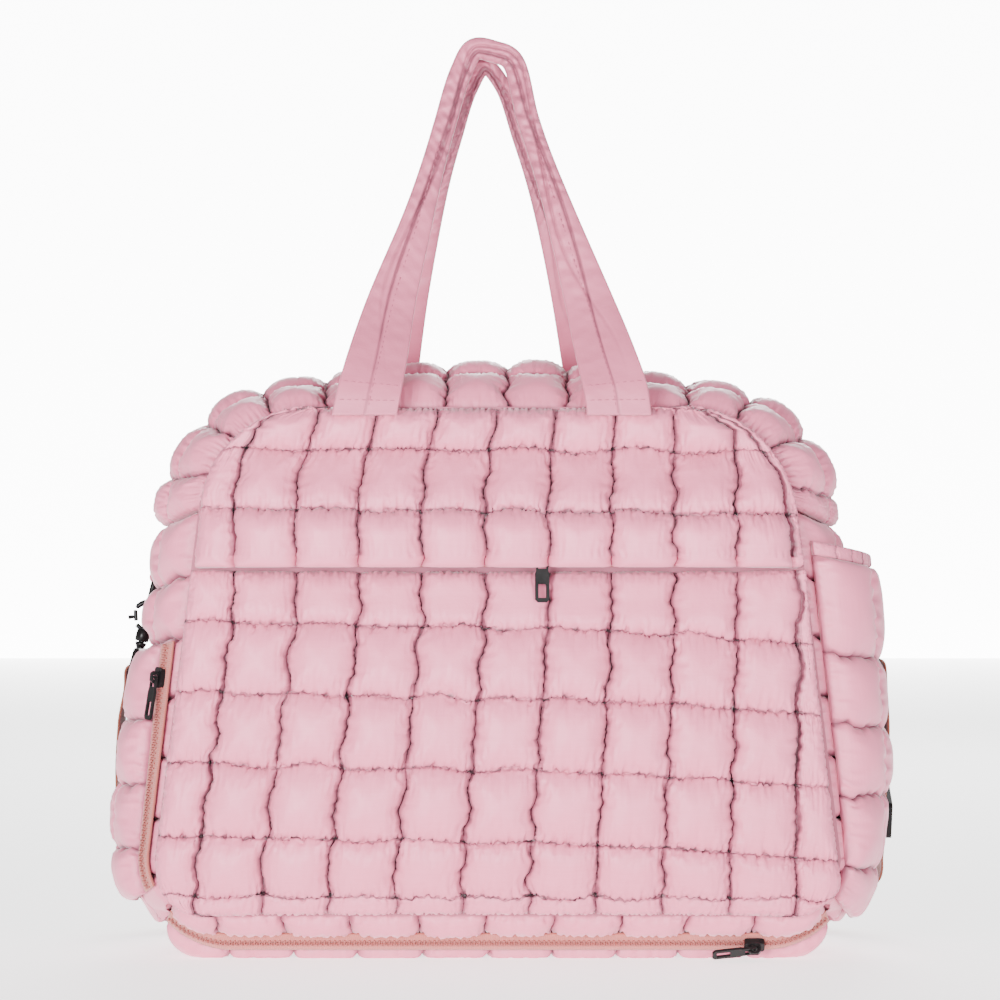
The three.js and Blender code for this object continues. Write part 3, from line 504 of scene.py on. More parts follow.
def padded_shape(surface, cells, seams, detail, rng):
    """The stuffed shape before its cloth puckers: its ground, its outside and each point's place
    in its cell."""
    nu, nv = cells
    s, r = ease(nu, detail, 0.45), ease(nv, detail, 0.45)
    S, R = np.meshgrid(s, r, indexing="ij")
    ground = surface(S, R)
    out = outwards(ground)
    du, dv = cell_sizes(ground, detail)
    cell_u, cell_v = np.minimum(S.astype(int), nu - 1), np.minimum(R.astype(int), nv - 1)
    a, b = S - cell_u, R - cell_v
    room = np.clip(np.minimum(du, dv * 1.3) / 32, 0.12, 1)
    fall_u = side_of(seams[0], cell_u, a) * (1 - pillow(a)) * room
    deep_v = side_of(seams[1], cell_v, b)
    hem = deep_v == QUILT.hem
    fall_v = deep_v * (1 - np.where(hem, pillow(b, 6.0, 0.45), pillow(b, 2.0, 0.62))) * np.where(hem, 1, room)
    puffed = pillow(a) * pillow(b)
    full = rng.uniform(-1.3, 1.3, cells)[cell_u, cell_v]
    slump = rng.uniform(-1.0, 1.0, cells)[cell_u, cell_v] * (2 * b - 1)
    rise = QUILT.top * room + (full + slump) * puffed * room - np.hypot(fall_u, fall_v)
    near = Bunch(u=np.minimum(a, 1 - a) * du, v=np.minimum(b, 1 - b) * dv)
    base = ground + out * rise[..., None]
    edge_u = (S < 0.5) | (S > nu - 0.5)
    edge_v = (R < 0.5) | (R > nv - 0.5)
    return Bunch(ground=ground, out=out, base=base, near=near, edge_u=edge_u, edge_v=edge_v,
                 hem=hem & (b * dv < 0.2 * dv))


def sway(shape, detail, rng, axis, low, high, jitter, reach):
    """Lines of stitches wander a little to either side, and the cloth beside them too."""
    base = np.moveaxis(shape.base, axis, 0)
    near = np.moveaxis((shape.near.u, shape.near.v)[axis], axis, 0)
    across = np.moveaxis(unit(np.gradient(shape.ground, axis=axis)), axis, 0)
    length = np.moveaxis(lengths(shape.ground, 1 - axis), axis, 0)
    half = detail // 2
    for k in range(detail, base.shape[0] - detail, detail):
        wander = waves(length[k], rng, low, high, 1.1) + waves(length[k], rng, 6, 11, jitter)
        ends = np.minimum(length[k], length[k][-1] - length[k])
        wander = wander * smooth(ends / 6)
        span = slice(k - half, k + half + 1)
        base[span] += (np.exp(-near[span] / reach) * wander)[..., None] * across[span]


def pucker(shape, rng, gather):
    """Settles the cloth on its padding. Columns of stitches hold it all along, rows at their needle holes."""
    near, ground = shape.near, shape.ground
    along_u, along_v = lengths(ground, 0), lengths(ground, 1)
    on_u, on_v = near.u < 1e-6, near.v < 1e-6
    nu = ground.shape[0]
    needle = (np.arange(nu) % STITCH == 0)[:, None]
    free = np.where(on_u | (on_v & needle), 0.0, 1.0)
    free[[0, -1], :] = 0
    free[:, [0, -1]] = 0
    free[on_u & on_v] = 0
    uneven_v = np.stack([patchy(line, rng, 17, 0.25, 1.5) for line in along_v])
    uneven_u = np.stack([patchy(line, rng, 15, 0.25, 1.6) for line in along_u.T], 1)
    extra_v = gather[0] * np.exp(-near.u / 5.5) * uneven_v + 0.025
    extra_u = gather[1] * np.exp(-near.v / 5.5) * uneven_u + 0.022
    extra_u = np.where(shape.hem, 0.01, extra_u)
    return settle(shape.base, free, extra_u, extra_v, rng, ROUNDS)


def quilt(name, surface, cells, node_name, seams=None, detail=COARSE, wall=WALL, gather=(0.1, 0.42),
          press=None):
    """A quilted piece. surface(s, r) gives points for s and r in cells: each whole number is a
    seam. seams is a pair of lists of the seams' depths. press(cloth) shapes the settled cloth."""
    rng = np.random.default_rng(SEED + sum(31 * k + ord(c) for k, c in enumerate(name)))
    shape = padded_shape(surface, cells, seams or usual_seams(cells), detail, rng)
    sway(shape, detail, rng, 0, 18, 46, 0.2, 7)
    sway(shape, detail, rng, 1, 30, 80, 0.2, 6)
    cloth = pucker(shape, rng, gather)
    if press is not None:
        cloth = press(cloth)
    ground = shape.ground
    painted_shade = seam_shade(shape, rng)
    step = detail // 2
    # The lining stays behind the cloth at the bottom of every seam.
    behind = np.maximum(wall, np.sum((ground - cloth) * shape.out, -1) + 1.0)
    lining = (ground - shape.out * behind[..., None])[::step, ::step]
    points, faces = closed_shell(cloth, lining, step, shape.out)
    flat = np.stack([lengths(ground, 0), lengths(ground, 1), np.zeros(ground.shape[:2])], -1) * MM
    inner_flat = flat[::step, ::step]
    # Painted shadow: under the hem the lining is darkened as well, so the rim reads as the shadow below the
    # flap.
    inner_painted_shade = np.where(shape.hem, painted_shade, 0)[::step, ::step]
    attributes = {
        "cloth": np.concatenate([flat.reshape(-1, 3), inner_flat.reshape(-1, 3)]),
        "painted_shade": np.concatenate([painted_shade.ravel(), inner_painted_shade.ravel()]),
    }
    obj = mesh_object(name, points, faces, PINK, attributes)
    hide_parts(node_name)
    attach(obj, "bag")


def seam_shade(shape, rng):
    """How much painted shade each point takes from its seams, 0 to 1: columns are deep, rows come and go with
    their puckers, and the hem's edge gets a painted shadow line.
    """
    near = shape.near
    along_u, along_v = lengths(shape.ground, 0), lengths(shape.ground, 1)
    column = np.stack([patchy(line, rng, 9, 0.7, 1.0) for line in along_v])
    reach = np.stack([patchy(line, rng, 7, 1.2, 2.7) for line in along_v])
    row = np.stack([patchy(line, rng, 2.4, 0.0, 1.0) for line in along_u.T], 1)
    column = np.where(shape.edge_u, 0.3 * column, column)
    row = np.where(shape.edge_v, 0.2 * row, row)
    shade = np.clip(column * np.exp(-(near.u / reach) ** 2) + 1.4 * row * np.exp(-(near.v / 1.0) ** 2), 0, 1)
    # Painted shade: a faint broad darkening beside each column of stitches.
    shade = np.maximum(shade, 0.16 * np.exp(-near.u / 5.0))
    # Painted shadow: a dark line along the flap's hem, where it overhangs the pocket.
    hem = np.maximum(0.3 * np.exp(-near.u / 1.5), 0.75 * np.exp(-(near.v / 0.8) ** 2))
    return np.where(shape.hem, hem, shade)


# Seams of the front and back panels. Columns lean outwards towards the base.
COLUMN_HEIGHTS = [52, 203, 276, 322]
COLUMN_START = [-175, -153, -153, -138]
COLUMN_PITCH = [38.6, 36.4, 36.4, 34.3]
COLUMNS = 10  # seams, so there is one more cell
LEAST_CELL = 5.0
PULL_ROOM = 4.0  # from the zip's cloth to the back of its hanging pull
PULL_LOW = 210.0  # height of the pull's tip


def column_x(s, z):
    """x of the s-th seam line at height z: 0 and 11 are the panel's edges."""
    start = np.interp(z, COLUMN_HEIGHTS, COLUMN_START)
    pitch = np.interp(z, COLUMN_HEIGHTS, COLUMN_PITCH)
    edge = half_width(PANEL, z)
    lines = []
    for k in range(COLUMNS + 2):
        line = start + pitch * (k - 1)
        low, high = -edge + LEAST_CELL * k, edge - LEAST_CELL * (COLUMNS + 1 - k)
        if k == 0:
            line = -edge
        elif k == COLUMNS + 1:
            line = edge
        lines.append(np.clip(line, low, high))
    lines = np.stack(lines)
    k = np.minimum(s.astype(int), COLUMNS)
    take = lambda i: np.take_along_axis(lines, i[None], 0)[0]
    return lerp(take(k), take(k + 1), s - k)


def row_tilt(x, z):
    """How far a row of stitches drops at x: the rows run down to the right."""
    drop = 0.017 * x + 0.00022 * np.maximum(x, 0) ** 2
    share = np.interp(z, [29, 70, 200, 233, 265, 324], [0.0, 1.0, 1.0, 0.5, 0.35, 0.0])
    return drop * share


def panel_surface(rows, depth):
    """surface(s, r) of a front or back panel whose row seams are at the heights in rows."""
    def surface(s, r):
        z = np.interp(r, range(len(rows)), rows)
        x = column_x(s, z)
        z = z - row_tilt(x, z) * smooth((z - rows[0]) / 25) * smooth((rows[-1] - z) / 25)
        z = np.clip(z, rows[0], rows[-1])
        u = 0.5 + 0.5 * x / half_width(PANEL, z)
        return np.stack([x, depth(u, z), z], -1)
    return surface


def pocket_bulge(u, rise):
    return ((1 - np.abs(2 * u - 1) ** 3) * (1 - np.maximum(0, 1 - rise / 0.35) ** 2)
            * (1 - (np.maximum(0, rise - 0.45) / 0.55) ** 2))


def crown(u, v):
    return (1 - np.abs(2 * u - 1) ** 3) * (1 - np.abs(2 * v - 1) ** 3)


def pocket_depth(u, z):
    rise = (z - PANEL.bottom) / (POCKET_TOP - PANEL.bottom)
    return -POCKET_BACK - WALL - POCKET_BULGE * pocket_bulge(u, rise)


def flap_depth(u, z):
    rise = (z - FLAP_BOTTOM) / (PANEL.top - FLAP_BOTTOM)
    lip = (1 - np.abs(2 * u - 1) ** 6) * (1 - smooth((rise - 0.2) / 0.5))
    return -POCKET_BACK - WALL - FLAP_STAND * lip - 2 * crown(u, rise)


def back_depth(u, z):
    return HALF_DEPTH + 0.3 + WALL + BACK_BULGE * crown(u, (z - PANEL.bottom) / (PANEL.top - PANEL.bottom))


def on_floor(cloth):
    """Cloth that rests on the floor is flat there."""
    cloth[..., 2] = np.maximum(cloth[..., 2], REST_HEIGHT)
    return cloth


def soft_over(amount, softness):
    """amount where it is above nought, rounded off near it."""
    return softness * np.logaddexp(0, amount / softness)


def under_pull(cloth):
    """The top of the pocket is pressed back by the flap, so that the zip's pull hangs in front of it."""
    back_of_pull = -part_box("front_zip_slider")[1].y / MM + PULL_ROOM
    limit = -back_of_pull - 0.5 * soft_over(PULL_LOW - cloth[..., 2], 7)
    cloth[..., 1] += 0.88 * soft_over(limit - cloth[..., 1], 1.2)
    return cloth


def make_front():
    border, cross = QUILT.border, QUILT.cross
    columns = edged(border, QUILT.seam, COLUMNS + 1)
    rows = [PANEL.bottom, 41, 73, 115, 156.5, 197, POCKET_TOP + 1.5]
    quilt("front_pocket_quilt", panel_surface(rows, pocket_depth), (COLUMNS + 1, 6), "front_pocket_panel",
          (columns, [border, 5.0] + [cross] * 4 + [8.0]), FINE, press=under_pull)
    rows = [FLAP_BOTTOM, 265, 299, PANEL.top]
    quilt("front_flap_quilt", panel_surface(rows, flap_depth), (COLUMNS + 1, 3), "front_flap",
          (columns, [QUILT.hem] + [cross] * 2 + [border]), FINE, wall=FLAP_WALL)


def make_back():
    rows = [PANEL.bottom, 70.6, 115, 156.5, 197, 233, 265, 299, PANEL.top]
    quilt("back_quilt", panel_surface(rows, back_depth), (COLUMNS + 1, 8), "back_panel")


def stations(start, end, pitch, offset):
    """Seam places from start to end: both ends, and every pitch from offset between them."""
    inner = offset + pitch * np.arange(-40, 41)
    inner = inner[(inner > start + 0.4 * pitch) & (inner < end - 0.4 * pitch)]
    return [start, *inner, end]


def band_surface(band, along, depths, lift=None):
    """surface(s, r) of a run of the band, lifted off it by lift(u, v), u up to 1 along it and v across."""
    def surface(s, r):
        length = np.interp(s, range(len(along)), along)
        points = band.place(length, np.interp(r, range(len(depths)), depths))
        if lift is None:
            return points
        out = outwards(points)
        u = (length - along[0]) / (along[-1] - along[0])
        v = (points[..., 1] - depths[0]) / (depths[-1] - depths[0])
        return points + out * lift(u, v)[..., None]
    return surface


def under_pocket(cloth, low, high, front):
    """The gusset's cloth is pressed flat where a side pocket or its zip lies over it."""
    x, y, z = np.moveaxis(cloth, -1, 0)
    inside = smooth((z - low + 8) / 8) * smooth((high + 8 - z) / 8) * smooth((y - front + 5) / 5)
    wall = lerp(half_width(PANEL, np.maximum(z, PANEL.bottom)), half_width(MIDDLE, z), side_bulge(y)) + 0.2
    over = np.maximum(np.abs(x) - wall, 0)
    cloth[..., 0] = x - np.sign(x) * over * inside
    return cloth


def band_quilt(name, node_name, band, along, depths, lift=None, **more):
    cells = (len(along) - 1, len(depths) - 1)
    quilt(name, band_surface(band, along, depths, lift), cells, node_name, **more)


def make_band():
    top = TOP_BAND
    along = stations(0, top.length, 35.5, top.length / 2 - 5.3)
    zip_edge = ZIP_HALF + 0.3
    border, seam = QUILT.border, QUILT.seam
    columns = edged(border, seam, len(along) - 1)
    depths = [border - 2, 8.0, 9.0]
    band_quilt("top_front_quilt", "top_gusset_front", top, along, [-HALF_DEPTH, -44, -zip_edge],
               seams=(columns, depths), detail=FINE)
    band_quilt("top_back_quilt", "top_gusset_back", top, along, [zip_edge, 44, HALF_DEPTH],
               seams=(columns, depths[::-1]))
    covered = {"right": (20, 236, RIGHT_POCKET.front), "left": (20, 188, -76)}
    for mirror, side in ((False, "right"), (True, "left")):
        run = Band([("foot", 0.5, 1, mirror), ("side", 0, 0.996, mirror)])
        up = stations(0, run.length, 34.5, run.station(217, 150))
        band_quilt(f"{side}_gusset_quilt", f"{side}_gusset", run, up, [-HALF_DEPTH, -42, 0, 42, HALF_DEPTH],
                   press=lambda cloth, area=covered[side]: under_pocket(cloth, *area))
    base = BASE_BAND
    along = stations(0, base.length, 38.5, base.length / 2 - 7)
    strip_seams = (edged(border, seam, len(along) - 1), [border - 3, 7.0])
    band_quilt("base_front_quilt", "base_front_strip", base, along, [-HALF_DEPTH, -66],
               seams=strip_seams, press=on_floor)
    band_quilt("base_quilt", "base_panel", base, along, [-52, -8, 36, HALF_DEPTH], press=on_floor)


# ---------------------------------------------------------------- side pockets
POCKET_WALL = 5.0


def make_side_pockets():
    border, seam, cross = 7.0, 9.0, 6.0
    left = LEFT_POCKET_BAND
    up = stations(0, left.length, 38, left.station(100, 60))
    band_quilt("left_pocket_quilt", "left_pocket", left, up, [LEFT_POCKET.front, -28, LEFT_POCKET.back],
               lift=lambda u, v: POCKET_WALL + 0.3 + 0.65 * LEFT_POCKET.bulge * crown(u, v), wall=POCKET_WALL,
               seams=(edged(border, seam, len(up) - 1), [border, cross, border]))
    right = Band([("foot", RIGHT_POCKET.foot, 1, False), ("side", 0, RIGHT_POCKET.high, False)])
    up = stations(0, right.length, 41, right.station(174, 120))
    bulge = lambda u, v: 0.6 + RIGHT_POCKET.bulge * (1 - np.abs(2 * v - 1) ** 3) * smooth(u * 2.2)
    band_quilt("right_pocket_quilt", "right_pocket", right, up,
               [RIGHT_POCKET.front, -38, RIGHT_POCKET.back], wall=POCKET_WALL,
               lift=lambda u, v: POCKET_WALL + bulge(u, v),
               seams=([border] + [seam] * (len(up) - 2) + [5.0], [border, cross, border]))
    low = RIGHT_POCKET.high + 0.002
    hem = Band([("side", low, low + RIGHT_POCKET.hem, False)])
    band_quilt("right_pocket_hem_quilt", "right_pocket_hem", hem, [0, hem.length],
               list(np.linspace(RIGHT_POCKET.front, RIGHT_POCKET.back, 11)), wall=3.0,
               lift=lambda u, v: POCKET_WALL - 1 + bulge(np.ones_like(u), v),
               seams=([5.0, 5.0], [5.0] + [3.0] * 9 + [5.0]), gather=(0.1, 0.1))


# ---------------------------------------------------------------- lines and sweeps
def catmull(points, per_span=20):
    """A centripetal Catmull-Rom curve through points."""
    p = np.array(points, float)
    p = np.concatenate([[2 * p[0] - p[1]], p, [2 * p[-1] - p[-2]]])
    out = []
    for k in range(1, len(p) - 2):
        x0, x1, x2, x3 = p[k - 1:k + 3]
        d0, d1, d2 = (max(np.linalg.norm(b - a) ** 0.5, 1e-4) for a, b in ((x0, x1), (x1, x2), (x2, x3)))
        m1 = ((x1 - x0) / d0 - (x2 - x0) / (d0 + d1) + (x2 - x1) / d1) * d1
        m2 = ((x2 - x1) / d1 - (x3 - x1) / (d1 + d2) + (x3 - x2) / d2) * d1
        t = np.linspace(0, 1, per_span, endpoint=False)[:, None]
        out.append(x1 + m1 * t + (3 * (x2 - x1) - 2 * m1 - m2) * t**2 + (2 * (x1 - x2) + m1 + m2) * t**3)
    return np.concatenate(out + [p[-2:-1]])


def evenly(line, count):
    """count points at even distances along a line."""
    at = distance(line)
    want = np.linspace(0, at[-1], count)
    return np.stack([np.interp(want, at, line[:, k]) for k in range(3)], -1)


def line_frames(line, facing, along=None):
    """Across and face directions along a line whose strip faces the way of facing."""
    along = unit(np.gradient(line, axis=0)) if along is None else along
    face = np.broadcast_to(np.array(facing, float), line.shape)
    face = unit(face - along * np.sum(face * along, -1, keepdims=True))
    return np.cross(along, face), face


def sweep(line, across, face, sections, closed=False):
    """Points and faces of a strip: sections gives [across, out] for each point around, per station."""
    sections = np.broadcast_to(sections, (len(line), *np.shape(sections)[-2:]))
    points = line[:, None] + across[:, None] * sections[..., :1] + face[:, None] * sections[..., 1:]
    count, around = points.shape[:2]
    i, j = np.meshgrid(np.arange(count if closed else count - 1), np.arange(around), indexing="ij")
    following, beside = (i + 1) % count, (j + 1) % around
    here, there = i * around, following * around
    quads = np.stack([here + j, there + j, there + beside, here + beside], -1)
    faces = quads.reshape(-1, 4).tolist()
    if not closed:
        last = (count - 1) * around
        faces += [list(range(around)), list(range(last + around - 1, last - 1, -1))]
    return points.reshape(-1, 3), faces


def merged(parts):
    """Several (points, faces) as one."""
    points, faces, start = [], [], 0
    for these, those in parts:
        points.append(these)
        faces += [[start + k for k in face] for face in those]
        start += len(these)
    return np.concatenate(points), faces


def rounded_section(width, thick, power=4.0, count=48):
    """A flat section with round edges."""
    turn = np.linspace(0, 2 * np.pi, count, endpoint=False)
    c, s = np.cos(turn), np.sin(turn)
    return np.stack([width / 2 * np.sign(c) * np.abs(c) ** (2 / power),
                     thick / 2 * np.sign(s) * np.abs(s) ** (2 / power)], -1)


def strip_cloth(section, at):
    """Where each point of a swept strip lies on its cloth, in metres."""
    return (np.stack(np.broadcast_arrays(section[None, :, 0], at[:, None], 0.0), -1) * MM).reshape(-1, 3)


def place_piece(obj, body, slot, *nodes):
    if nodes:
        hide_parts(*nodes)
    if body:
        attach(obj, body)
    return obj


STITCH_PITCH, THREAD = 3.7, 0.42


def stitches(name, lines):
    """Sewing thread: a row of short stitches along each line, which is (points, outward directions)."""
    parts = []
    for line, out in lines:
        length = np.sum(np.linalg.norm(np.diff(line, axis=0), axis=1))
        count = max(2, int(length / STITCH_PITCH) * 4)
        spots, up = evenly(line, count), unit(evenly(out, count))
        for k in range(0, count - 3, 4):
            start, end = spots[k], spots[k + 3]
            middle = (start + end) / 2 + up[k + 1] * THREAD * 0.8
            path = np.stack([start - up[k] * 0.3, lerp(start, middle, 0.6) + up[k] * 0.15, middle,
                             lerp(end, middle, 0.6) + up[k] * 0.15, end - up[k] * 0.3])
            across, face = line_frames(path, up[k])
            swell = np.array([0.5, 0.9, 1.0, 0.9, 0.5])[:, None, None]
            parts.append(sweep(path, across, face, swell * rounded_section(THREAD * 1.3, THREAD, 2.0, 6)))
    return place_piece(mesh_object(name, *merged(parts), THREAD_CLOTH), None, "quilt")


# ---------------------------------------------------------------- carry handles
HANDLE = Bunch(width=37, thick=3.6, folded_thick=9, length=560)
FRONT_HANDLE = [
    (-77, -97, 319), (-74, -94.5, 334), (-70, -85, 352), (-62, -62, 387), (-47, -42, 437), (-32, -22, 492),
    (-22, -11, 526), (-14, -8.5, 539.5), (-2, -8, 538), (8, -10, 533), (18, -22, 496), (35, -42, 444),
    (53, -62, 387), (63, -85, 352), (68, -94.5, 334), (70, -97, 319)]
BACK_HANDLE = [
    (-72, 95.5, 319), (-69, 92.5, 334), (-66, 83, 352), (-57, 62, 387), (-42, 42, 437), (-27, 22, 488),
    (-17, 11, 518), (-8, 7.5, 531), (2.5, 11, 520), (14, 22, 488), (30, 42, 440), (47, 62, 387),
    (57, 83, 352), (61, 92.5, 334), (63, 95.5, 319)]


def strap_section(power, count=60):
    """A flat section with evenly spaced points on both faces, so that it can carry fine creases."""
    u = np.linspace(-1, 1, count)
    t = 0.6 * u + 0.4 * np.sin(np.pi / 2 * u)
    half = 0.5 * (1 - np.abs(t) ** power) ** (1 / power)
    under = np.stack([t / 2, -half], -1)[1:-1]
    return np.concatenate([np.stack([t / 2, half], -1), under[::-1]])


def make_handle(name, route, facing, body, seed, folded_width):
    """A flat padded strap, sewn down its middle, that folds and creases towards the top."""
    rng = np.random.default_rng(seed)
    count = 420
    line = evenly(catmull(route), count)
    across, face = line_frames(line, (0, facing, 0))
    t = np.linspace(0, 1, count)[:, None]
    # The ends are cut level, so the strap's threads lean there.
    level = smooth(1 - np.minimum(t, 1 - t) * HANDLE.length / 45)
    flat_across = np.sign(across[:, :1]) * np.array([[1.0, 0, 0]])
    across = lerp(across, flat_across / np.maximum(0.9, np.abs(across[:, :1])), level)
    fold = smooth(1.35 * (1 - np.abs(2 * t - 1)))
    width, thick = lerp(HANDLE.width, folded_width, fold), lerp(HANDLE.thick, HANDLE.folded_thick, fold)
    flat, bunched = strap_section(5.0), strap_section(2.6)
    shape = lerp(flat, bunched, fold[..., None])
    x, y = shape[..., 0] * width, shape[..., 1] * thick
    # The middle seam becomes a crease that wanders to one side where the strap is folded.
    crease_at = fold * width * 0.2 * np.sin(11 * t + seed)
    crease = np.exp(-((x - crease_at) / lerp(0.55, 1.1, fold)) ** 2) * lerp(0.8, 2.0, fold)
    second = fold * np.exp(-((x + width * 0.27 * np.cos(17 * t + seed)) / 1.0) ** 2) * 1.6
    side = np.sign(y)
    y = side * np.maximum(np.abs(y) - (crease + second) * (np.abs(y) > 0.2 * thick), 0.2 * np.abs(y))
    length = t * HANDLE.length
    ripple = np.zeros_like(x)
    for _ in range(9):
        wave, skew = rng.uniform(9, 34), rng.uniform(-0.9, 0.9)
        ripple += np.sin(2 * np.pi * (length + skew * x) / wave + rng.uniform(0, 6.3)) * rng.uniform(0.3, 1)
    bunch = smooth((fold - 0.75) / 0.25)
    crumple = np.zeros_like(x)
    for _ in range(7):
        wave, skew = rng.uniform(5, 13), rng.uniform(-1.6, 1.6)
        rise = np.abs(np.sin(np.pi * (length + skew * x) / wave + rng.uniform(0, 6.3)))
        crumple += rise * rng.uniform(0.3, 1)
    # The rims stay closed: both faces keep apart there, however deep the creases are.
    away = smooth(np.abs(shape[..., 1]) / 0.32)
    folds = ripple * lerp(0.05, 0.26, fold) - (crumple - 2.4) * 0.75 * bunch
    y = side * np.maximum(np.abs(y) + folds * away, 0.3 * np.abs(shape[..., 1]) * thick)
    points, faces = sweep(line, across, face, np.stack([x, y], -1))
    # Painted shade: the strap's colour is darkened in its creases, in the crumples of the bunched top and on
    # the inside of the bend.
    painted_shade = np.clip(crease, 0, 1) * lerp(0.75, 0.5, fold) + np.clip(second, 0, 1) * 0.3
    painted_shade = painted_shade + bunch * np.clip((crumple - 2.4) * 0.25, 0, 0.3)
    radial = unit((line - [0, 0, 490]) * [1, 0, 1])
    inner = -np.sign(np.sum(across * radial, -1, keepdims=True)) * x / width * 2
    inside_bend_shade = smooth((fold - 0.6) / 0.4) * 0.22 * np.clip(inner, 0, 1) ** 1.2
    painted_shade = np.minimum(painted_shade, lerp(1.0, 0.6, fold)) + inside_bend_shade
    flat_at = np.stack(np.broadcast_arrays(x, length, 0 * x), -1) * MM
    attributes = {"painted_shade": painted_shade.ravel(), "cloth": flat_at.reshape(-1, 3)}
    obj = mesh_object(name, points, faces, STRAP_CLOTH, attributes)
    place_piece(obj, None, "strap_cloth", body)
    # Rows of thread: beside the middle seam, and across each end.
    at = line + across * (0.04 * width) + face * (thick / 2 - 0.25)
    parts = (slice(4, int(count * 0.36)), slice(int(count * 0.64), count - 4))
    lines = [(at[part], face[part]) for part in parts]
    for end in (7, 15, count - 16, count - 8):
        reach = np.linspace(-0.43, 0.43, 12)[:, None] * width[end]
        at = line[end] + across[end] * reach + face[end] * (thick[end] / 2 - 0.05)
        lines.append((at, np.broadcast_to(face[end], at.shape)))
    thread = stitches(name + "_thread", lines)
    end = (0, route[0][1] * MM, (route[0][2] + 26) * MM)
    for piece in (obj, thread):
        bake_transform(piece)
        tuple(end)


def make_handles():
    make_handle("front_handle_strap", FRONT_HANDLE, -1, "front_handle", 3, 13.5)
    make_handle("back_handle_strap", BACK_HANDLE, 1, "back_handle", 5, 10)


# ---------------------------------------------------------------- zips
TOOTH_PITCH = 1.45
FRONT_ZIP_Z = 236.0  # height of the front zip's coil
TAPE_THICK = 1.4


def tape(name, node_name, surface, length, width):
    """A woven zip tape. surface(s, w) gives points s along it and w across it, in millimetres."""
    along, wide = max(12, int(length / 2.0)) // 4 * 4, 16
    s, w = np.meshgrid(np.linspace(0, length, along + 1), np.linspace(0, width, wide + 1), indexing="ij")
    ground = surface(s, w)
    out = outwards(ground)
    rib = 0.12 * np.cos(2 * np.pi * w / width * 6)
    outer = ground + out * rib[..., None]
    points, faces = closed_shell(outer, (ground - out * TAPE_THICK)[::4, ::4], 4, out)
    flat = np.stack([s, w, 0 * s], -1) * MM
    cloth = np.concatenate([flat.reshape(-1, 3), flat[::4, ::4].reshape(-1, 3)])
    obj = mesh_object(name, points, faces, TAPE_CLOTH, {"cloth": cloth})
    return place_piece(obj, "bag", "tape", node_name)


def coil(name, line, out, half=2.6, height=1.7):
    """The two meshed rows of a zip's coil along a line: each tooth is a bent loop of nylon wire."""
    length = np.sum(np.linalg.norm(np.diff(line, axis=0), axis=1))
    count = int(length / TOOTH_PITCH)
    spots, up = evenly(line, count), unit(evenly(out, count))
    along = unit(np.gradient(spots, axis=0))
    across = np.cross(along, up)
    bend = ((-0.7, 0.5), (-0.5, height), (half * 0.6, height), (half, 0.55), (half, 0.0))
    parts = []
    for k in range(1, count - 1):
        side = 1 if k % 2 else -1
        path = np.stack([spots[k] + across[k] * side * x + up[k] * z for x, z in bend])
        face = np.broadcast_to(along[k], path.shape)
        parts.append(sweep(path, np.cross(unit(np.gradient(path, axis=0)), face), face,
                           rounded_section(0.8, 0.95, 2.0, 6)))
    obj = mesh_object(name, *merged(parts), COIL_NYLON)
    return place_piece(obj, "bag", "tape")


def make_zips():
    top, base, left = TOP_BAND, BASE_BAND, LEFT_POCKET_BAND

    def lifted(band, start, lift):
        def surface(s, w):
            points = band.place(s, start + w)
            return points + outwards(points) * lift
        return surface

    def middle_line(band, y, lift):
        s, w = np.meshgrid(np.linspace(0, band.length, 300), [-0.5, 0.5], indexing="ij")
        grid = lifted(band, y, lift)(s, w)
        return grid.mean(1), outwards(grid).mean(1)

    for side, start in (("front", -ZIP_HALF), ("back", 0.2)):
        surface = lifted(top, start, -6)
        tape(f"main_zip_{side}_weave", f"main_zip_{side}_tape", surface, top.length, ZIP_HALF - 0.2)
    coil("main_zip_coil", *middle_line(top, 0, -6))
    tape("base_zip_weave", "base_zip_tape", lifted(base, -65.7, -2), base.length, 13.4)
    coil("base_zip_coil", *middle_line(base, -59, -2), height=1.3)
    tape("left_zip_weave", "left_zip_tape", lifted(left, -76, 3.4), left.length, 12)
    coil("left_zip_coil", *middle_line(left, -70, 3.4), height=1.5)
    low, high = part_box("front_zip_tape")
    corner = np.array([low.x, low.y, low.z]) / MM
    size = np.array([high.x - low.x, 0, high.z - low.z]) / MM
    tape("front_zip_weave", "front_zip_tape",
         lambda s, w: corner + np.stack([s, 0 * s, w], -1), size[0], size[2])
    row = np.array([[corner[0] + x, corner[1], FRONT_ZIP_Z] for x in np.linspace(2, size[0] - 2, 60)])
    coil("front_zip_coil", row, np.broadcast_to([0, -1.0, 0], row.shape), height=1.3)


# ---------------------------------------------------------------- shoulder strap
RIGHT_BAR = np.array([207.5, 50, 223])
LEFT_BAR = np.array([-208.5, 50, 223])
CHAIN_TILT = {"right": 24, "left": 14}
TAB_TILT = 10
WEB = Bunch(width=38, thick=1.8, turn=3.6)
EYE = Bunch(wire=4, half=21.75, top=-46, bottom=-59)


def hung(bar, tilt, local):
    """Points of the chain's own frame (x outwards, z up, origin at the D-ring's bar) in the bag's."""
    local = np.asarray(local, float)
    c, s = math.cos(math.radians(-tilt)), math.sin(math.radians(-tilt))
    x, y, z = local[..., 0], local[..., 1], local[..., 2]
    turned = np.stack([c * x + s * z, y, c * z - s * x], -1)
    if bar[0] < 0:
        turned = turned * [-1, -1, 1]
    return bar + turned


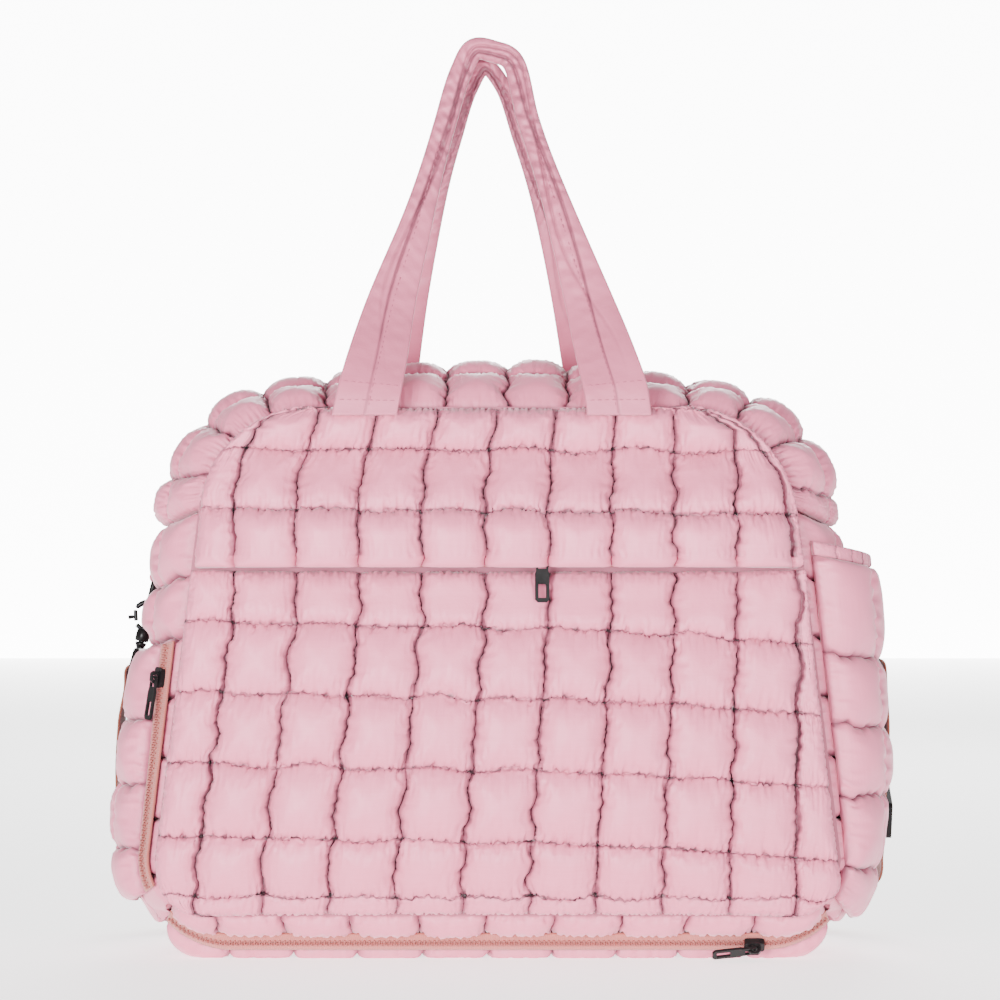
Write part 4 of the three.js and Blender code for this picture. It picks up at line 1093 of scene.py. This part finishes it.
def strap_line():
    """The webbing's middle, from its free end inside the right turn to its sewn end inside the left one."""
    def turn(bar, tilt):
        angles = np.radians([180, 135, 90, 45, 0])
        around = np.stack([WEB.turn * np.cos(angles), 0 * angles, EYE.bottom + WEB.turn * np.sin(angles)], -1)
        return [tuple(p) for p in hung(bar, tilt, around)]
    return catmull([
        (234.2, 66, 115), (233.6, 58, 132), (231.5, 52, 152), *turn(RIGHT_BAR, CHAIN_TILT["right"]),
        (236.5, 52, 152), (238, 58, 132), (238, 66, 115), (238, 74, 98), (238, 84, 77),
        (238, 94, 56), (236.5, 103.5, 38), (222, 113, 20), (201, 120, 7.5), (180, 125, 1.9),
        (158, 129, 1.5), (100, 134, 1.5), (50, 131, 1.5), (0, 127, 1.5), (-50, 129, 1.5),
        (-100, 132, 1.5), (-156, 129, 1.5), (-178, 125, 1.9), (-198, 120, 7.5), (-219, 113, 20),
        (-233.5, 103.5, 38), (-235, 94, 56), (-235, 84, 77), (-234, 74, 98), (-233, 66, 115),
        (-230.5, 57, 138), (-227, 51, 156), *turn(LEFT_BAR, CHAIN_TILT["left"])[::-1], (-221, 51, 154),
        (-224.5, 57, 136), (-227, 63, 122)], 16)


def webbing_section():
    """Ribbed webbing: a flat section whose faces are ridged along its length."""
    x = np.linspace(-WEB.width / 2, WEB.width / 2, 65)
    ridge = WEB.thick / 2 - 0.16 + 0.13 * np.cos(2 * np.pi * x / 2.4)
    ridge[[0, -1]] *= 0.45
    return np.concatenate([np.stack([x, ridge], -1)[::-1], np.stack([x, -ridge], -1)])


def make_strap():
    line = strap_line()
    along = unit(np.gradient(line, axis=0))
    face = unit(np.cross(along, [0, 1.0, 0]))
    across = unit(np.cross(along, face))
    section = webbing_section()
    behind = np.argmin(np.abs(line[:, 0]) + 10 * (line[:, 2] > 10))
    halves = {"right": slice(0, behind + 1), "left": slice(behind, None)}
    nodes = {"right": ("strap_right_end", "strap_webbing"), "left": ("strap_left_end",)}
    at = distance(line)
    for side, part in halves.items():
        points, faces = sweep(line[part], across[part], face[part], section)
        cloth = strip_cloth(section, at[part])
        obj = mesh_object(f"strap_{side}_web", points, faces, WEBBING, {"cloth": cloth})
        place_piece(obj, None, "webbing", *nodes[side])
        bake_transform(obj)


# ---------------------------------------------------------------- strap hardware
RING = Bunch(wire=3.6, half=15, drop=6)
TAB = Bunch(width=18, reach=3.5, thick=1.8, height=27)
HOOK = Bunch(wire=4, radius=8.5, centre=-24.9, barrel=-32.7)


def wire(points, thickness, facing, closed=False, count=90, round_sides=16):
    """A bent wire: thickness is a number, or a pair for its two ends."""
    points = [tuple(p) for p in points]
    if closed:
        dense = catmull(points[-3:] + points + points[:3], 16)[3 * 16:-3 * 16]
        dense = dense[:len(points) * 16]
        line = evenly(np.concatenate([dense, dense[:1]]), count + 1)
        along = unit(np.roll(line[:-1], -1, 0) - np.roll(line[:-1], 1, 0))
        line = line[:-1]
        across, face = line_frames(line, facing, along)
    else:
        line = evenly(catmull(points, 16) if len(points) > 2 else np.array(points, float), count)
        across, face = line_frames(line, facing)
    ends = np.broadcast_to(thickness, 2)
    size = np.linspace(ends[0], ends[1], len(line))[:, None, None]
    if not closed:
        cap = np.sqrt(np.clip(1 - (np.abs(np.linspace(-1, 1, len(line))) ** 24), 0.02, 1))[:, None, None]
        size = size * cap
    return sweep(line, across, face, size * rounded_section(1, 1, 2.0, round_sides), closed)


def turned(profile, count=28):
    """A turned piece about z from a closed profile of [radius, height]."""
    angles = np.linspace(0, 2 * np.pi, count, endpoint=False)
    rings = np.array(profile, float)
    points = np.stack([rings[:, None, 0] * np.cos(angles), rings[:, None, 0] * np.sin(angles),
                       np.broadcast_to(rings[:, 1:2], (len(rings), count))], -1)
    i, j = np.meshgrid(np.arange(len(rings) - 1), np.arange(count), indexing="ij")
    quads = np.stack([i * count + j, i * count + (j + 1) % count, (i + 1) * count + (j + 1) % count,
                      (i + 1) * count + j], -1).reshape(-1, 4).tolist()
    last = (len(rings) - 1) * count
    return points.reshape(-1, 3), quads + [list(range(count))[::-1], list(range(last, last + count))]


def crook(angle):
    turn = math.radians(angle)
    return (HOOK.radius * math.cos(turn), 0, HOOK.centre + HOOK.radius * math.sin(turn))


def ring_shape():
    points = [(0, -11, 0), (0, -4, 0), (0, 4, 0), (0, 11, 0)]
    for angle in (8, -15, -40, -65, -90, -115, -140, -165, -188):
        turn = math.radians(angle)
        points.append((0, RING.half * math.cos(turn), -RING.drop + RING.half * math.sin(turn)))
    return wire(points, RING.wire, (1, 0, 0), True)


def hook_shape():
    root = HOOK.barrel
    bend = wire([crook(a) for a in (270, 240, 210, 180, 150, 120, 90, 60, 35, 22)], (4.6, 3.2), (0, 1, 0))
    barrel = turned([(0.4, root + 0.3), (2.6, root), (3.6, root - 0.6), (4.2, root - 1.6), (4.35, root - 4.5),
                     (4.2, root - 7.4), (3.7, root - 8), (0.4, root - 8)])
    horn = wire([(0, 0, root - 1.5), (3.6, 0, root + 0.3), crook(-50)], (3.2, 2.8), (0, 1, 0), count=24)
    return merged([bend, barrel, horn])


def gate_shape():
    foot, tip = np.array(crook(-50)), np.array(crook(14))
    reach = tip - foot
    bar = wire([foot + reach * 0.24, tip], (2.6, 2.4), (0, 1, 0), count=20)
    middle = foot + reach * 0.5
    lever = wire([middle, middle + [2.4, 0, -0.4], middle + [4.5, 0, -1.5]], (1.8, 2.6), (0, 1, 0), count=16)
    return merged([bar, lever])


def eye_shape():
    root, half = HOOK.barrel, EYE.half
    stem = turned([(0.4, root - 8.2), (1.9, root - 8.2), (1.9, root - 8.6), (3.2, root - 8.7),
                   (3.5, root - 9.4), (3.2, root - 10.4), (2.2, EYE.top + 1), (2.2, EYE.top), (0.4, EYE.top)])
    middle = (EYE.top + EYE.bottom) / 2
    loop = wire([(0, -12, EYE.top), (0, 12, EYE.top), (0, half - 1.5, EYE.top - 0.6), (0, half, EYE.top - 3),
                 (0, half, middle), (0, half, EYE.bottom + 3), (0, half - 1.5, EYE.bottom + 0.6),
                 (0, 12, EYE.bottom), (0, -12, EYE.bottom), (0, 1.5 - half, EYE.bottom + 0.6),
                 (0, -half, EYE.bottom + 3), (0, -half, middle), (0, -half, EYE.top - 3),
                 (0, 1.5 - half, EYE.top - 0.6)], EYE.wire, (1, 0, 0), True, 140)
    return merged([stem, loop])


def make_tab(side, bar):
    """A strap end folded round the D-ring's bar and sewn to itself above it."""
    reach, thick = TAB.reach, TAB.thick
    angles = np.radians([180, 215, 250, 290, 325, 360])
    round_bar = [(reach * math.cos(a), 0, reach * math.sin(a)) for a in angles]
    inside = thick - reach + 0.1
    path = catmull([(-reach, 0, TAB.height), (-reach, 0, 14), *round_bar, (1.6, 0, 4.6),
                    (inside, 0, 8.5), (inside, 0, 16), (inside, 0, TAB.height)], 12)
    line = evenly(path, 90)
    along = unit(np.gradient(line, axis=0))
    across = np.broadcast_to([0.0, 1.0, 0.0], line.shape)
    face = np.cross(along, across)
    points, faces = sweep(line, across, face, rounded_section(TAB.width, thick - 0.1, 5.0, 40))
    section = rounded_section(TAB.width, thick, 5.0, 40)
    cloth = strip_cloth(section, np.linspace(0, 70, len(line)))
    obj = mesh_object(f"{side}_ring_tab_strap", hung(bar, TAB_TILT, points), faces, STRAP_CLOTH,
                      {"cloth": cloth, "painted_shade": np.zeros(len(points))})
    place_piece(obj, "bag", "strap_cloth", f"{side}_ring_tab")


def make_hardware():
    shapes = {"d_ring": (ring_shape, "{}_ring"), "hook": (hook_shape, "{}_hook"),
              "hook_gate": (gate_shape, "{}_gate"), "hook_eye": (eye_shape, "{}_ring")}
    for side, bar in (("right", RIGHT_BAR), ("left", LEFT_BAR)):
        make_tab(side, bar)
        for part, (shape, body) in shapes.items():
            points, faces = shape()
            points = hung(bar, CHAIN_TILT[side], points)
            obj = mesh_object(f"{side}_{part}_metal", points, faces, BLACK_METAL)
            place_piece(obj, body.format(side), "black_metal", f"{side}_{part}")


# ---------------------------------------------------------------- stage
def glowing_sheet(name, material_name, corners, glow):
    """A flat white sheet of the stage that gives light."""
    mesh = bpy.data.meshes.new(name)
    mesh.from_pydata(corners, [], [(0, 1, 2, 3)])
    obj = bpy.data.objects.new(name, mesh)
    bpy.context.scene.collection.objects.link(obj)
    material, _, bsdf = shader(material_name)
    bsdf.inputs["Emission Color"].default_value = rgba(1.0, 1.0, 1.0)
    bsdf.inputs["Emission Strength"].default_value = glow
    mesh.materials.append(material)
    return bsdf


def make_stage():
    # The floor glows like a light table, so the bag is lit from below as well.
    size = 6.0
    floor = glowing_sheet("floor", "pale_floor",
                          [(-size, -size, 0), (size, -size, 0), (size, size, 0), (-size, size, 0)], 1.8)
    floor.inputs["Base Color"].default_value = rgba(0.9, 0.9, 0.9)
    floor.inputs["Roughness"].default_value = 0.8
    # A bright panel far behind the bag gives an even white ground.
    half, behind = 1.3, 4.5
    glowing_sheet("backdrop", "backdrop_glow", [
        (-half, behind, 0), (half, behind, 0), (half, behind, 2 * half), (-half, behind, 2 * half)], 10.0)

    world = bpy.data.worlds.new("studio")
    bpy.context.scene.world = world
    world.use_nodes = True
    world.node_tree.nodes["Background"].inputs[0].default_value = rgba(1.0, 1.0, 1.0)
    world.node_tree.nodes["Background"].inputs[1].default_value = 0.4

    for name, place, size, power in (
            ("key", (-0.85, -2.1, 0.27), (0.8, 0.5), 94), ("fill", (0.95, -2.1, 0.27), (0.8, 0.5), 48),
            ("rear", (0.3, 1.8, 1.3), (1.2, 1.2), 30)):
        light = bpy.data.objects.new(name, bpy.data.lights.new(name, "AREA"))
        light.data.shape = "RECTANGLE"
        light.data.size, light.data.size_y = size
        light.data.energy = power
        light.location = place
        aim = Vector((0, 0, 0.2)) - Vector(place)
        light.rotation_euler = aim.to_track_quat("-Z", "Y").to_euler()
        bpy.context.scene.collection.objects.link(light)


def make_camera():
    distance, height, frame_width = 2.44, 0.27, 0.60
    data = bpy.data.cameras.new("camera")
    data.lens = data.sensor_width * distance / frame_width
    camera = bpy.data.objects.new("camera", data)
    camera.location = (0.0012, -distance, height)
    camera.rotation_euler = (math.pi / 2, 0, 0)
    bpy.context.scene.collection.objects.link(camera)
    bpy.context.scene.camera = camera


def finish_cad_nodes():
    """CAD pieces that keep their own shape get a finished material."""
    finishes = {"tape": TAPE_CLOTH, "lining": LINING, "board": BOARD, "black_metal": BLACK_METAL,
                "quilt": PINK, "strap_cloth": STRAP_CLOTH, "webbing": WEBBING}
    for entry in frame["record"]["subparts"]:
        obj = frame["nodes"][entry["node"]]
        if not obj.hide_render:
            obj.data.materials.clear()
            obj.data.materials.append(finishes[entry["material_slot"]])


make_camera()
make_stage()
make_front()
make_back()
make_band()
make_side_pockets()
make_handles()
make_zips()
make_strap()
make_hardware()
finish_cad_nodes()
